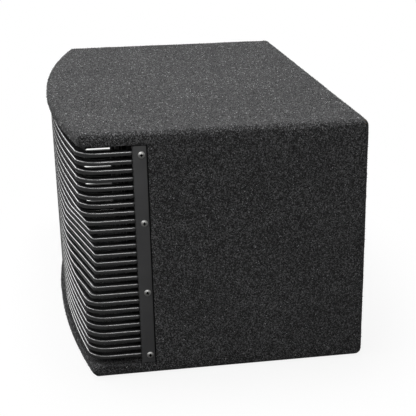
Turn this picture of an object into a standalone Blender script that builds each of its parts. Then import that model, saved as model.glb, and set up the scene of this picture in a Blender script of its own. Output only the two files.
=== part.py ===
"""Powered car subwoofer: a carpeted box with a bowed front and a wrap-around bar grille, a ten-inch
woofer behind the grille and an amplifier plate in the back.

Metres, +Z up, front towards -Y. The origin is on the floor, in the middle of the footprint.
"""

import math

import bmesh
import bpy
from mathutils import Matrix, Vector

MM = 0.001

# Fits
SEAT_GAP = 0.3 * MM            # between two pieces that touch
SLOT_GAP = 0.4 * MM            # round a piece that passes through a hole or slides in a slot
FUSION = 1.0 * MM              # how far one half of a moulding runs into the other

# Cabinet
CABINET_WIDTH = 580 * MM
CABINET_HEIGHT = 300 * MM
SIDE_DEPTH = 332 * MM          # back to the front corners
BOW_RISE = 36 * MM             # how far the front bows out past its corners
BOW_STEPS = 16
BOARD = 12 * MM
CARPET = 1.2 * MM
EDGE_RADIUS = 5 * MM           # outer edges, over the carpet
EDGE_STEPS = 3
BOARD_EDGE_STEPS = 1           # under the carpet
BASE_SEAM = 8 * MM             # from the outline to the edge of the carpet under the box

# Grille
BAR_PITCH = 10 * MM
BAR_END_ROOM = 10 * MM         # least room from a lip to the middle of the first bar
BAR_HEIGHT = 5.6 * MM
BAR_REAR_HEIGHT = 5 * MM
BAR_DEPTH = 10 * MM
BAR_CHAMFER = 1.3 * MM
BAR_SIDE_INSET = 3.5 * MM      # bars behind the face of the screw strip
BAR_FRONT_INSET = 4.2 * MM     # bars behind the front of the lips, in the middle
BAR_CORNER_INSET = 1 * MM      # bars' corner ahead of the lips' corner
BAR_CORNER_RADIUS = 18 * MM
SCOOP_CORNER_RADIUS = 4 * MM   # corner of a scooped bar
SCOOP_CORNER_FADE = 6 * MM     # depth of scoop over which the corner tightens
BAR_CORNER_STEPS = 4
BAR_INNER_RADIUS = 1.5 * MM    # least radius at the back of a bar's corner
BAR_BOW_STEPS = 4              # along half the front
SCOOP_DEPTH = 11.3 * MM        # how far the scoop pushes the corner back at mid height
SCOOP_SLOPE = 0.265            # lie of the scooped bars across the front
SCOOP_RADIUS = 155 * MM        # hollow of the scoop from bar to bar
RIB_PLACE = 90 * MM            # each side of the middle
RIB_THICKNESS = 2.4 * MM
RIB_DEPTH = 7 * MM
STRIP_SETBACK = 59 * MM        # front corner of the box to the front edge of the strip
STRIP_WIDTH = 15.5 * MM
STRIP_THICKNESS = 3 * MM
STRIP_END_GAP = 1 * MM         # strip to the carpet above and below it
STRIP_REVEAL = 0.8 * MM        # strip to the carpet behind it
STRIP_CORNER_RADIUS = 2.4 * MM
WEB_THICKNESS = 3 * MM         # wall that turns in from the strip and takes the ends of the bars
GRILLE_SCREW_SETBACK = 9.7 * MM  # strip's front edge to its screws
GRILLE_SCREW_END = 10.3 * MM   # strip's end to its first screw
GRILLE_SCREW_MIDDLE_SPAN = 86 * MM

# Screws: head radius, head height, shank radius, shank length
GRILLE_SCREW = (4.0 * MM, 2.2 * MM, 1.75 * MM, 11 * MM)
WOOFER_SCREW = (3.6 * MM, 2.4 * MM, 2.0 * MM, 13.5 * MM)
PLATE_SCREW = (3.2 * MM, 2.0 * MM, 1.6 * MM, 11 * MM)
SCREW_SIDES = 8
PILOT_DEPTH_SPARE = 1 * MM     # below the end of a screw

# Woofer: radii from its axis, depths behind the front of the baffle
BASKET_EDGE_ROOM = 7 * MM      # basket's flange to the lips above and below it
FLANGE_WIDTH = 15 * MM
BASKET_WALL = 2.5 * MM
FLANGE_THICKNESS = 3 * MM
CUTOUT_CLEARANCE = 1.8 * MM
BASKET_SHELF_RADIUS = 73 * MM
SPIDER_SEAT = 6 * MM           # width of the shelf that the spider is glued to
SPIDER_ROOM = 6 * MM           # cone's collar to the shelf
BASKET_CUP_DEPTH = 16 * MM     # shelf to the back of the basket
BASKET_THROAT_RADIUS = 46 * MM
BASKET_SPOKES = 6
SPOKE_WIDTH = 24 * MM
WINDOW_FRONT_DEPTH = 17 * MM
WINDOW_REAR_ROOM = 3 * MM      # window to the shelf
GASKET_THICKNESS = 2 * MM
GASKET_WIDTH = 3 * MM
WOOFER_SCREW_EDGE = 6 * MM     # basket's edge to its screws
WOOFER_SCREWS = 6
ROLL_RADIUS = 7.5 * MM
ROLL_STEPS = 5
SURROUND_THICKNESS = 1.2 * MM
SURROUND_RIM = 5.5 * MM
TRIM_THICKNESS = 1.6 * MM
TRIM_WIDTH = 9.5 * MM
CONE_THICKNESS = 1.2 * MM
CONE_NECK_DEPTH = 36 * MM
CONE_COLLAR = 5 * MM
CONE_SWELL = 3 * MM            # how far the cone's side curves out of a straight line
CONE_STEPS = 3
DUST_CAP_RADIUS = 42 * MM
DUST_CAP_RISE = 11 * MM
DUST_CAP_THICKNESS = 1 * MM
DUST_CAP_STEPS = 4
FORMER_RADIUS = 25.9 * MM
FORMER_WALL = 0.8 * MM
FORMER_STAND = 2 * MM          # former ahead of the cone's neck
WINDING_THICKNESS = 0.7 * MM
WINDING_LENGTH = 18 * MM
COIL_CLEARANCE = 0.6 * MM      # each side of the winding in the magnet's gap
SPIDER_THICKNESS = 0.8 * MM
SPIDER_WAVE = 1.8 * MM
SPIDER_WAVES = 3
FRONT_PLATE_RADIUS = 62 * MM
FRONT_PLATE_THICKNESS = 8 * MM
MAGNET_RADIUS = 68 * MM
MAGNET_HOLE_RADIUS = 32 * MM
MAGNET_THICKNESS = 22 * MM
YOKE_THICKNESS = 8 * MM
VENT_RADIUS = 8 * MM
TERMINAL_SIZE = (26 * MM, 9 * MM, 2 * MM)
TURN_STEPS = 30
FINE_TURN_STEPS = 24           # the smaller rings

# Amplifier plate: places from its left end, rows up from its middle, heights out from its face
PLATE_SIZE = (250 * MM, 120 * MM)
PLATE_THICKNESS = 3 * MM
PLATE_CORNER_RADIUS = 6 * MM
PLATE_CARPET_GAP = 1 * MM
PLATE_RIM = 12 * MM            # plate's overlap on the rear board
FIN_FIRST = 141 * MM           # plate's left end to the first fin
FIN_END_ROOM = 13 * MM         # least room from the last fin to the plate's right end
FIN_PITCH = 8 * MM
FIN_THICKNESS = 2.2 * MM
FIN_HEIGHT = 11 * MM
FIN_EDGE_ROOM = 10 * MM        # ends of the fins to the plate's long edges
CIRCUIT_BOARD_ROOM = 5 * MM    # circuit board to the cut-out in the rear board
CIRCUIT_BOARD_THICKNESS = 1.6 * MM
CIRCUIT_BOARD_SPACING = 8 * MM  # behind the plate
STANDOFF_RADIUS = 3 * MM
STANDOFF_INSET = 5 * MM        # pillars to the edges of the circuit board
UPPER_ROW = 26 * MM
LOWER_ROW = -24 * MM
KNOB_PLACES = {"level": 27 * MM, "lowpass": 57 * MM, "boost": 87 * MM}
KNOB_SKIRT_RADIUS = 8 * MM
KNOB_GRIP_RADIUS = 6.4 * MM
KNOB_TIP_RADIUS = 5.6 * MM
KNOB_HEIGHT = 11.6 * MM
KNOB_BASE_GAP = 0.6 * MM
KNOB_TOP = 2.4 * MM            # solid top over the spindle
POT_RADIUS = 8 * MM
POT_BUSH_RADIUS = 3.6 * MM
POT_SPINDLE_RADIUS = 3 * MM
PHASE_PLACE = 113 * MM
PHASE_BODY = (16 * MM, 9 * MM)
PHASE_STEM = (4 * MM, 3.6 * MM)
PHASE_TRAVEL = 4 * MM
PHASE_REACH = 4 * MM
LAMP_PLACE = 129 * MM
LAMP_RADIUS = 2.4 * MM
JACK_PLACE = 33 * MM
JACK_PITCH = 14 * MM
JACK_BODY_HEIGHT = 14 * MM
JACK_RADIUS = 4.2 * MM
JACK_HOLE_RADIUS = 1.6 * MM
JACK_REACH = 9 * MM
BLOCK_PLACE = 81 * MM
BLOCK_SIZE = (44 * MM, 18 * MM)
BLOCK_REACH = 12 * MM
BLOCK_NECK = (36 * MM, 8 * MM)
BLOCK_WAYS = 3
BLOCK_WAY_PITCH = 13 * MM
BLOCK_WIRE_RADIUS = 1.9 * MM
FUSE_PLACE = 121 * MM
FUSE_SIZE = (18 * MM, 5 * MM)
FUSE_REACH = 8 * MM
FUSE_HOLDER_WALL = 1.6 * MM
FUSE_HOLDER_LIP = 1.5 * MM
TRANSFORMER_INSET = 46 * MM    # middle of the transformer to the circuit board's right end
TRANSFORMER_RADII = (8 * MM, 21 * MM)
TRANSFORMER_HEIGHT = 18 * MM
CAPACITOR_SPACING = 46 * MM    # transformer to capacitors
CAPACITOR_ROW = 20 * MM        # each side of the middle
CAPACITOR_RADIUS = 11 * MM
CAPACITOR_HEIGHT = 30 * MM

# Worked out from the sizes above
BOARD_INSET = CARPET + SEAT_GAP
LIP = BOARD + 2 * BOARD_INSET
PLATE_PROUD = PLATE_THICKNESS + SEAT_GAP - BOARD_INSET
REAR_REACH = PLATE_PROUD + KNOB_BASE_GAP + KNOB_HEIGHT
REAR_Y = (SIDE_DEPTH + BOW_RISE - REAR_REACH) / 2
CORNER_Y = REAR_Y - SIDE_DEPTH
BOW_RADIUS = ((CABINET_WIDTH / 2) ** 2 + BOW_RISE ** 2) / (2 * BOW_RISE)
BOW_CENTRE_Y = CORNER_Y - BOW_RISE + BOW_RADIUS
BAR_SIDE_X = CABINET_WIDTH / 2 - BAR_SIDE_INSET
BAR_FRONT_Y = CORNER_Y - BOW_RISE + BAR_FRONT_INSET
BAR_RISE = BOW_RISE - BAR_FRONT_INSET - BAR_CORNER_INSET
BAR_BOW_RADIUS = (BAR_SIDE_X ** 2 + BAR_RISE ** 2) / (2 * BAR_RISE)
BAR_BOW_CENTRE_Y = BAR_FRONT_Y + BAR_BOW_RADIUS
MID_Z = CABINET_HEIGHT / 2
SIDE_X = CABINET_WIDTH / 2
BOARD_SIDE_X = SIDE_X - BOARD_INSET
BOARD_LOW = BOARD_INSET + BOARD + SEAT_GAP
BOARD_HIGH = CABINET_HEIGHT - BOARD_LOW
BAR_COUNT = 1 + round((CABINET_HEIGHT - 2 * LIP - 2 * BAR_END_ROOM - BAR_PITCH / 4) / BAR_PITCH)
STRIP_FRONT_Y = CORNER_Y + STRIP_SETBACK
STRIP_REAR_Y = STRIP_FRONT_Y + STRIP_WIDTH
CARPET_EDGE_Y = STRIP_REAR_Y + STRIP_REVEAL
BAFFLE_Y = STRIP_FRONT_Y + WEB_THICKNESS + SEAT_GAP
REAR_BOARD_Y = REAR_Y - BOARD_INSET
BASKET_RADIUS = CABINET_HEIGHT / 2 - LIP - BASKET_EDGE_ROOM
FLANGE_SEAT_RADIUS = BASKET_RADIUS - FLANGE_WIDTH
WOOFER_SCREW_RADIUS = BASKET_RADIUS - WOOFER_SCREW_EDGE
BASKET_CUP_RADIUS = BASKET_SHELF_RADIUS - SPIDER_SEAT
BASKET_SHELF_DEPTH = CONE_NECK_DEPTH + CONE_COLLAR + SPIDER_ROOM
BASKET_DEPTH = BASKET_SHELF_DEPTH + BASKET_CUP_DEPTH
ROLL_CENTRE_RADIUS = FLANGE_SEAT_RADIUS - SURROUND_RIM - ROLL_RADIUS
FLANGE_REAR = -(GASKET_THICKNESS + 2 * SEAT_GAP)
FLANGE_FRONT = FLANGE_REAR - FLANGE_THICKNESS
RIM_REAR = FLANGE_FRONT - SEAT_GAP
RIM_FRONT = RIM_REAR - SURROUND_THICKNESS
CONE_EDGE_RADIUS = ROLL_CENTRE_RADIUS - ROLL_RADIUS - SEAT_GAP
CONE_RIM_RADIUS = CONE_EDGE_RADIUS - SURROUND_RIM
FRONT_PLATE_DEPTH = BASKET_DEPTH + SEAT_GAP
MAGNET_DEPTH = FRONT_PLATE_DEPTH + FRONT_PLATE_THICKNESS + SEAT_GAP
YOKE_DEPTH = MAGNET_DEPTH + MAGNET_THICKNESS + SEAT_GAP
WINDING_DEPTH = FRONT_PLATE_DEPTH + FRONT_PLATE_THICKNESS / 2
CUTOUT_RADIUS = FLANGE_SEAT_RADIUS + CUTOUT_CLEARANCE
PLATE_CUTOUT = (PLATE_SIZE[0] - 2 * PLATE_RIM, PLATE_SIZE[1] - 2 * PLATE_RIM)
PLATE_LEFT = -PLATE_SIZE[0] / 2
CIRCUIT_BOARD_SIZE = (PLATE_CUTOUT[0] - 2 * CIRCUIT_BOARD_ROOM, PLATE_CUTOUT[1] - 2 * CIRCUIT_BOARD_ROOM)
FIN_COUNT = 1 + int((PLATE_SIZE[0] - FIN_FIRST - FIN_END_ROOM) / FIN_PITCH + 0.01)
COMPONENT_FRONT = -PLATE_THICKNESS - SEAT_GAP
CIRCUIT_BOARD_FRONT = -PLATE_THICKNESS - CIRCUIT_BOARD_SPACING - SEAT_GAP
COMPONENT_REAR = CIRCUIT_BOARD_FRONT + SEAT_GAP
CIRCUIT_BOARD_REAR = CIRCUIT_BOARD_FRONT - CIRCUIT_BOARD_THICKNESS


def clear_scene():
    for item in list(bpy.data.objects):
        bpy.data.objects.remove(item)


def material(name, colour, roughness, metallic=0.0):
    made = bpy.data.materials.new(name)
    made.use_nodes = True
    shader = made.node_tree.nodes["Principled BSDF"]
    shader.inputs["Base Color"].default_value = (*colour, 1.0)
    shader.inputs["Roughness"].default_value = roughness
    shader.inputs["Metallic"].default_value = metallic
    made.diffuse_color = (*colour, 1.0)
    return made


def add_object(name, form, look=None, parent=None, place=(0, 0, 0)):
    """Turns a bmesh into a named object, shaded smooth between its sharp edges."""
    bmesh.ops.recalc_face_normals(form, faces=form.faces)
    mesh = bpy.data.meshes.new(name)
    form.to_mesh(mesh)
    form.free()
    mesh.shade_smooth()
    mesh.set_sharp_from_angle(angle=math.radians(35))
    made = bpy.data.objects.new(name, mesh)
    bpy.context.scene.collection.objects.link(made)
    made.parent = parent
    made.location = place
    if look:
        mesh.materials.append(look)
    return made


def add_guide(name, place):
    guide = bpy.data.objects.new(name, None)
    guide.location = place
    bpy.context.scene.collection.objects.link(guide)
    return guide


def combine(target, form, operation):
    """Unites a form with an object or cuts it out; the form is in the object's own frame."""
    tool = add_object(f"{target.name}_{operation.lower()}_{len(target.modifiers)}", form,
                      parent=target.parent, place=target.location)
    tool.hide_render = True
    tool.display_type = 'WIRE'
    step = target.modifiers.new(operation.title(), 'BOOLEAN')
    step.operation = operation
    step.solver = 'EXACT'
    step.object = tool


def cut(target, form):
    combine(target, form, 'DIFFERENCE')


def unite(target, form):
    combine(target, form, 'UNION')


def bake(target):
    """Gives the object's shape, with its cuts made, as a bmesh, and removes the object."""
    mesh = bpy.data.meshes.new_from_object(
        target.evaluated_get(bpy.context.evaluated_depsgraph_get()))
    form = bmesh.new()
    form.from_mesh(mesh)
    bpy.data.meshes.remove(mesh)
    for step in target.modifiers:
        bpy.data.objects.remove(step.object)
    bpy.data.objects.remove(target)
    return form


def merge(*forms):
    """Puts several forms that do not touch into one bmesh."""
    whole = forms[0]
    for form in forms[1:]:
        mesh = bpy.data.meshes.new("merge")
        form.to_mesh(mesh)
        form.free()
        whole.from_mesh(mesh)
        bpy.data.meshes.remove(mesh)
    return whole


def block(low, high):
    low, high = Vector(low), Vector(high)
    form = bmesh.new()
    place = Matrix.Translation((low + high) / 2) @ Matrix.Diagonal((*(high - low), 1))
    bmesh.ops.create_cube(form, size=1, matrix=place)
    return form


def plan_prism(outline, low, high):
    """Extrudes an outline in X and Y from one height to another."""
    form = bmesh.new()
    face = form.faces.new([form.verts.new((x, y, low)) for x, y in outline])
    raised = bmesh.ops.extrude_face_region(form, geom=[face])["geom"]
    points = [item for item in raised if isinstance(item, bmesh.types.BMVert)]
    bmesh.ops.translate(form, vec=(0, 0, high - low), verts=points)
    return form


def turned(profile, steps=TURN_STEPS):
    """Turns a closed profile of (radius, depth) points about the Y axis."""
    form = bmesh.new()
    points = [form.verts.new((radius, depth, 0)) for radius, depth in profile]
    edges = []
    for first, second in zip(points, points[1:] + points[:1]):
        if first.co.x > 0 or second.co.x > 0:
            edges.append(form.edges.new((first, second)))
    bmesh.ops.spin(form, geom=points + edges, cent=(0, 0, 0), axis=(0, 1, 0),
                   angle=math.tau, steps=steps, use_merge=True)
    bmesh.ops.remove_doubles(form, verts=form.verts, dist=0.001 * MM)
    return form


def rod(radius, low, high, place=(0, 0), sides=SCREW_SIDES):
    """A round bar along Y at a place across and up."""
    form = turned([(0, low), (radius, low), (radius, high), (0, high)], sides)
    bmesh.ops.translate(form, vec=(place[0], 0, place[1]), verts=form.verts)
    return form


def soften(form, wanted, radius, steps=EDGE_STEPS):
    """Rounds the edges that the test wants, given both ends of each."""
    edges = [edge for edge in form.edges if wanted(*(end.co for end in edge.verts))]
    bmesh.ops.bevel(form, geom=edges, offset=radius, segments=steps, profile=0.5,
                    affect='EDGES', clamp_overlap=True)
    return form


def near(first, second):
    return abs(first - second) < 0.05 * MM


def arc(centre, radius, start, end, steps):
    """Points of an arc, both ends included, with angles in radians."""
    angles = [start + (end - start) * index / steps for index in range(steps + 1)]
    return [(centre[0] + radius * math.cos(angle), centre[1] + radius * math.sin(angle))
            for angle in angles]


def bow_y(x, inset):
    """The bowed front at a place across, drawn in by the inset."""
    return BOW_CENTRE_Y - math.sqrt((BOW_RADIUS - inset) ** 2 - x ** 2)


def cabinet_outline(inset):
    """The box seen from above, drawn in by the inset on every side."""
    side = SIDE_X - inset
    across = [side * (2 * index / BOW_STEPS - 1) for index in range(BOW_STEPS + 1)]
    back = [(side, REAR_Y - inset), (-side, REAR_Y - inset)]
    return back + [(x, bow_y(x, inset)) for x in across]


def envelope(name, inset, notch_y):
    """The box with the open bay in front of the baffle, drawn in by the inset, edges rounded.

    The bay runs right across, between the boards that reach forward above and below it.
    """
    low, high = inset, CABINET_HEIGHT - inset
    bay_low, bay_high = LIP - inset, CABINET_HEIGHT - LIP + inset
    solid = add_object(name, plan_prism(cabinet_outline(inset), low, high))
    cut(solid, block((-CABINET_WIDTH, CORNER_Y - 2 * BOW_RISE, bay_low),
                     (CABINET_WIDTH, notch_y, bay_high)))
    side = SIDE_X - inset
    front = bow_y(side, inset)

    def rounded(first, second):
        if near(first.z, second.z):
            return near_any(first.z, (low, high)) or (
                near_any(first.z, (bay_low, bay_high)) and max(first.y, second.y) < front + MM)
        at_corner = near(abs(first.x), side) and near_any(first.y, (REAR_Y - inset, front))
        return at_corner and near(first.x, second.x) and near(first.y, second.y)

    return soften(bake(solid), rounded, EDGE_RADIUS - inset)


def near_any(value, others):
    return any(near(value, other) for other in others)


def lip_board(name, low, outer_up, look):
    """A board with the bowed front: round over its outer edges and both edges of the bow."""
    form = plan_prism(cabinet_outline(BOARD_INSET), low, low + BOARD)
    outer = low + BOARD if outer_up else low
    front = bow_y(BOARD_SIDE_X, BOARD_INSET)

    def rounded(first, second):
        if near(first.z, second.z):
            return near(first.z, outer) or max(first.y, second.y) < front + MM
        return True

    return add_object(name, soften(form, rounded, EDGE_RADIUS - BOARD_INSET, BOARD_EDGE_STEPS), look)


def side_board(name, sign, look):
    """A side board, rebated for the grille's strip and drilled for its screws."""
    inner = BOARD_SIDE_X - BOARD
    form = block((inner, BAFFLE_Y, BOARD_LOW), (BOARD_SIDE_X, REAR_BOARD_Y, BOARD_HIGH))

    def back_edge(first, second):
        return all(near(end.x, BOARD_SIDE_X) and near(end.y, REAR_BOARD_Y) for end in (first, second))

    soften(form, back_edge, EDGE_RADIUS - BOARD_INSET, BOARD_EDGE_STEPS)
    rebate = SIDE_X - STRIP_THICKNESS - SEAT_GAP
    tools = [block((rebate, BAFFLE_Y - MM, BOARD_LOW - MM),
                   (SIDE_X, CARPET_EDGE_Y, BOARD_HIGH + MM))]
    radius = GRILLE_SCREW[2] + SEAT_GAP
    depth = GRILLE_SCREW[3] + PILOT_DEPTH_SPARE
    pilots = [across_rod(radius, SIDE_X - depth, SIDE_X, place) for place in grille_screw_places()]
    for tool in tools + pilots + [form]:
        if sign < 0:
            mirror(tool)
    made = add_object(name, form, look)
    cut(made, tools[0])
    cut(made, merge(*pilots))
    return made


def mirror(form):
    bmesh.ops.scale(form, vec=(-1, 1, 1), verts=form.verts)
    bmesh.ops.reverse_faces(form, faces=form.faces)


def across_rod(radius, low, high, place):
    """A round bar along X at a place (y, z)."""
    form = rod(radius, low, high)
    bmesh.ops.rotate(form, cent=(0, 0, 0), matrix=Matrix.Rotation(-math.pi / 2, 3, 'Z'),
                     verts=form.verts)
    bmesh.ops.translate(form, vec=(0, *place), verts=form.verts)
    return form


def grille_screw_places():
    y = STRIP_FRONT_Y + GRILLE_SCREW_SETBACK
    outer = CABINET_HEIGHT / 2 - LIP - STRIP_END_GAP - GRILLE_SCREW_END
    inner = GRILLE_SCREW_MIDDLE_SPAN / 2
    return [(y, MID_Z + lift) for lift in (outer, inner, -inner, -outer)]


def ring_places(radius, count):
    """Places (x, z) on a circle, none of them straight up."""
    angles = [math.tau * (index + 0.5) / count for index in range(count)]
    return [(radius * math.sin(angle), radius * math.cos(angle)) for angle in angles]


def build_cabinet(looks):
    lip_board("top_panel", CABINET_HEIGHT - BOARD_INSET - BOARD, True, looks["board"])
    lip_board("bottom_panel", BOARD_INSET, False, looks["board"])
    side_board("right_side_panel", 1, looks["board"])
    side_board("left_side_panel", -1, looks["board"])
    inner = BOARD_SIDE_X - BOARD - SEAT_GAP
    rear = add_object("rear_panel", block((-inner, REAR_BOARD_Y - BOARD, BOARD_LOW),
                                          (inner, REAR_BOARD_Y, BOARD_HIGH)), looks["board"])
    half_x, half_z = PLATE_CUTOUT[0] / 2, PLATE_CUTOUT[1] / 2
    cut(rear, block((-half_x, 0, MID_Z - half_z), (half_x, REAR_Y, MID_Z + half_z)))
    pilot_top = REAR_Y + PLATE_PROUD - PLATE_SCREW[3] - PILOT_DEPTH_SPARE
    cut(rear, merge(*(rod(PLATE_SCREW[2] + SEAT_GAP, pilot_top, REAR_Y, (x, MID_Z + z))
                      for x, z in plate_screw_places())))
    baffle = add_object("front_baffle", block((-inner, BAFFLE_Y, BOARD_LOW),
                                              (inner, BAFFLE_Y + BOARD, BOARD_HIGH)), looks["baffle"])
    cut(baffle, rod(CUTOUT_RADIUS, BAFFLE_Y - MM, BAFFLE_Y + 2 * BOARD, (0, MID_Z), 48))
    pilot_end = BAFFLE_Y + FLANGE_FRONT + WOOFER_SCREW[3] + PILOT_DEPTH_SPARE
    cut(baffle, merge(*(rod(WOOFER_SCREW[2] + SEAT_GAP, BAFFLE_Y - MM, pilot_end, (x, MID_Z + z))
                        for x, z in ring_places(WOOFER_SCREW_RADIUS, WOOFER_SCREWS))))


def build_carpet(looks):
    """Carpet over the outside of the box and round its lips, with a sheet of its own underneath."""
    cover = add_object("carpet_cover", envelope("outer", 0, CARPET_EDGE_Y), looks["carpet"])
    cut(cover, envelope("inner", CARPET, BAFFLE_Y - SEAT_GAP))
    cut(cover, plan_prism(cabinet_outline(BASE_SEAM - SEAT_GAP), -MM, BOARD_INSET))
    half_x = PLATE_SIZE[0] / 2 + PLATE_CARPET_GAP
    half_z = PLATE_SIZE[1] / 2 + PLATE_CARPET_GAP
    cut(cover, block((-half_x, REAR_Y - 2 * BOARD_INSET, MID_Z - half_z),
                     (half_x, REAR_Y + BOARD, MID_Z + half_z)))
    add_object("carpet_base", plan_prism(cabinet_outline(BASE_SEAM), 0, CARPET), looks["carpet"])


def bar_bow_y(x, inset):
    """The bow of the bars, flatter than that of the box, drawn in by the inset."""
    return BAR_BOW_CENTRE_Y - math.sqrt((BAR_BOW_RADIUS - inset) ** 2 - x ** 2)


def scoop_front_y(z, inset):
    """Where the scooped bars would leave the side, drawn in by the inset."""
    deepest = bar_bow_y(BAR_SIDE_X, 0) + SCOOP_DEPTH
    return deepest - (z - MID_Z) ** 2 / (2 * SCOOP_RADIUS) + inset * math.hypot(1, SCOOP_SLOPE)


def fillet(corner, radius, turn):
    """Arc that rounds the corner where a bar turns from the side, along +Y, to the front."""
    centre = (corner[0] - radius, corner[1] + radius * math.tan(turn / 2))
    return arc(centre, radius, 0, -turn, BAR_CORNER_STEPS)


def bar_half(z, inset):
    """Plan of one half of a bar, from the screw strip to the middle of the front."""
    side = BAR_SIDE_X - inset
    start = [(side, STRIP_FRONT_Y + WEB_THICKNESS / 2)]
    scooped = scoop_front_y(z, 0) - bar_bow_y(BAR_SIDE_X, 0)
    tight = min(max(scooped / SCOOP_CORNER_FADE, 0), 1)
    radius = BAR_CORNER_RADIUS + (SCOOP_CORNER_RADIUS - BAR_CORNER_RADIUS) * tight
    radius = max(radius - inset, BAR_INNER_RADIUS)
    if scooped > 0:
        line_y = scoop_front_y(z, inset)
        corner = (side, line_y - SCOOP_SLOPE * inset)
        turn = math.pi / 2 - math.atan(SCOOP_SLOPE)
        bow_start = scoop_end(line_y, inset)
    else:
        corner = (side, bar_bow_y(side, inset))
        lean = math.asin(side / (BAR_BOW_RADIUS - inset))
        turn = math.pi / 2 - lean
        reach = radius * math.tan(turn / 2) * math.cos(lean)
        bow_start = side - reach * (1 + 1 / BAR_BOW_STEPS)
    across = [bow_start * (1 - index / BAR_BOW_STEPS) for index in range(BAR_BOW_STEPS + 1)]
    return start + fillet(corner, radius, turn) + [(x, bar_bow_y(x, inset)) for x in across]


def scoop_end(line_y, inset):
    """Place across where a scooped bar's straight stretch meets the bow."""
    radius = BAR_BOW_RADIUS - inset
    drop = line_y - SCOOP_SLOPE * BAR_SIDE_X - BAR_BOW_CENTRE_Y
    square = 1 + SCOOP_SLOPE ** 2
    half = SCOOP_SLOPE * drop
    return (-half - math.sqrt(half * half - square * (drop * drop - radius * radius))) / square


def grille_bar(z):
    """One bar: a blade with a chamfered nose, lofted along its plan from strip to strip."""
    nose = BAR_HEIGHT / 2 - BAR_CHAMFER
    section = [(0, nose), (BAR_CHAMFER, BAR_HEIGHT / 2), (BAR_DEPTH, BAR_REAR_HEIGHT / 2),
               (BAR_DEPTH, -BAR_REAR_HEIGHT / 2), (BAR_CHAMFER, -BAR_HEIGHT / 2), (0, -nose)]
    plans = []
    for inset, lift in section:
        half = bar_half(z, inset)
        other = [(-x, y) for x, y in reversed(half[:-1])]
        plans.append([(x, y, z + lift) for x, y in half + other])
    form = bmesh.new()
    rings = [[form.verts.new(point) for point in ring] for ring in zip(*plans)]
    for first, second in zip(rings, rings[1:]):
        for index in range(len(first)):
            after = (index + 1) % len(first)
            form.faces.new((first[index], first[after], second[after], second[index]))
    form.faces.new(rings[0])
    form.faces.new(rings[-1])
    return form


def grille_strip(sign):
    """The flat strip on one side of the box, with the wall that the bars grow from."""
    face = SIDE_X
    web_inner = BAR_SIDE_X - BAR_DEPTH - FUSION
    outline = [(face, STRIP_FRONT_Y), (face, STRIP_REAR_Y), (face - STRIP_THICKNESS, STRIP_REAR_Y),
               (face - STRIP_THICKNESS, STRIP_FRONT_Y + WEB_THICKNESS),
               (web_inner, STRIP_FRONT_Y + WEB_THICKNESS), (web_inner, STRIP_FRONT_Y)]
    low = LIP + STRIP_END_GAP
    form = plan_prism(outline, low, CABINET_HEIGHT - low)

    def front_end(first, second):
        return near(first.y, STRIP_FRONT_Y) and near(second.y, STRIP_FRONT_Y) and near(first.z, second.z)

    soften(form, front_end, STRIP_CORNER_RADIUS)
    if sign < 0:
        mirror(form)
    return form


def grille_rib(place):
    """An upright rib behind the bars, square to the bow."""
    front = BAR_DEPTH - 2 * FUSION
    reach = (BAR_COUNT - 1) * BAR_PITCH / 2 + BAR_REAR_HEIGHT / 2 - FUSION
    form = block((-RIB_THICKNESS / 2, front, -reach), (RIB_THICKNESS / 2, front + RIB_DEPTH, reach))
    bmesh.ops.translate(form, vec=(0, -BAR_BOW_RADIUS, 0), verts=form.verts)
    turn = Matrix.Rotation(math.asin(place / BAR_BOW_RADIUS), 3, 'Z')
    bmesh.ops.rotate(form, cent=(0, 0, 0), matrix=turn, verts=form.verts)
    bmesh.ops.translate(form, vec=(0, BAR_BOW_CENTRE_Y, MID_Z), verts=form.verts)
    return form


def build_grille(looks):
    strips = [grille_strip(sign) for sign in (1, -1)]
    ribs = [grille_rib(sign * RIB_PLACE) for sign in (1, -1)]
    grille = add_object("grille", merge(*strips, *ribs), looks["grille"])
    first = MID_Z + (BAR_COUNT - 1) * BAR_PITCH / 2
    unite(grille, merge(*(grille_bar(first - BAR_PITCH * row) for row in range(BAR_COUNT))))
    hole = GRILLE_SCREW[2] + SEAT_GAP
    cut(grille, merge(*(across_rod(hole, -CABINET_WIDTH, CABINET_WIDTH, place)
                        for place in grille_screw_places())))
    for side, sign in (("right", 1), ("left", -1)):
        for number, (y, z) in enumerate(grille_screw_places(), 1):
            form = screw_form(GRILLE_SCREW)
            turn = Matrix.Rotation(sign * math.pi / 2, 3, 'Z')
            bmesh.ops.rotate(form, cent=(0, 0, 0), matrix=turn, verts=form.verts)
            add_object(f"grille_screw_{side}_{number}", form, looks["screw"],
                       place=(sign * (SIDE_X + SEAT_GAP), y, z))


def screw_form(size):
    """A pan-head screw along +Y, with the underside of its head at the origin."""
    head, height, shank, length = size
    return turned([(0, -height), (head * 0.7, -height * 0.8), (head, 0), (shank, 0), (shank, length),
                   (0, length)], SCREW_SIDES)


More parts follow.
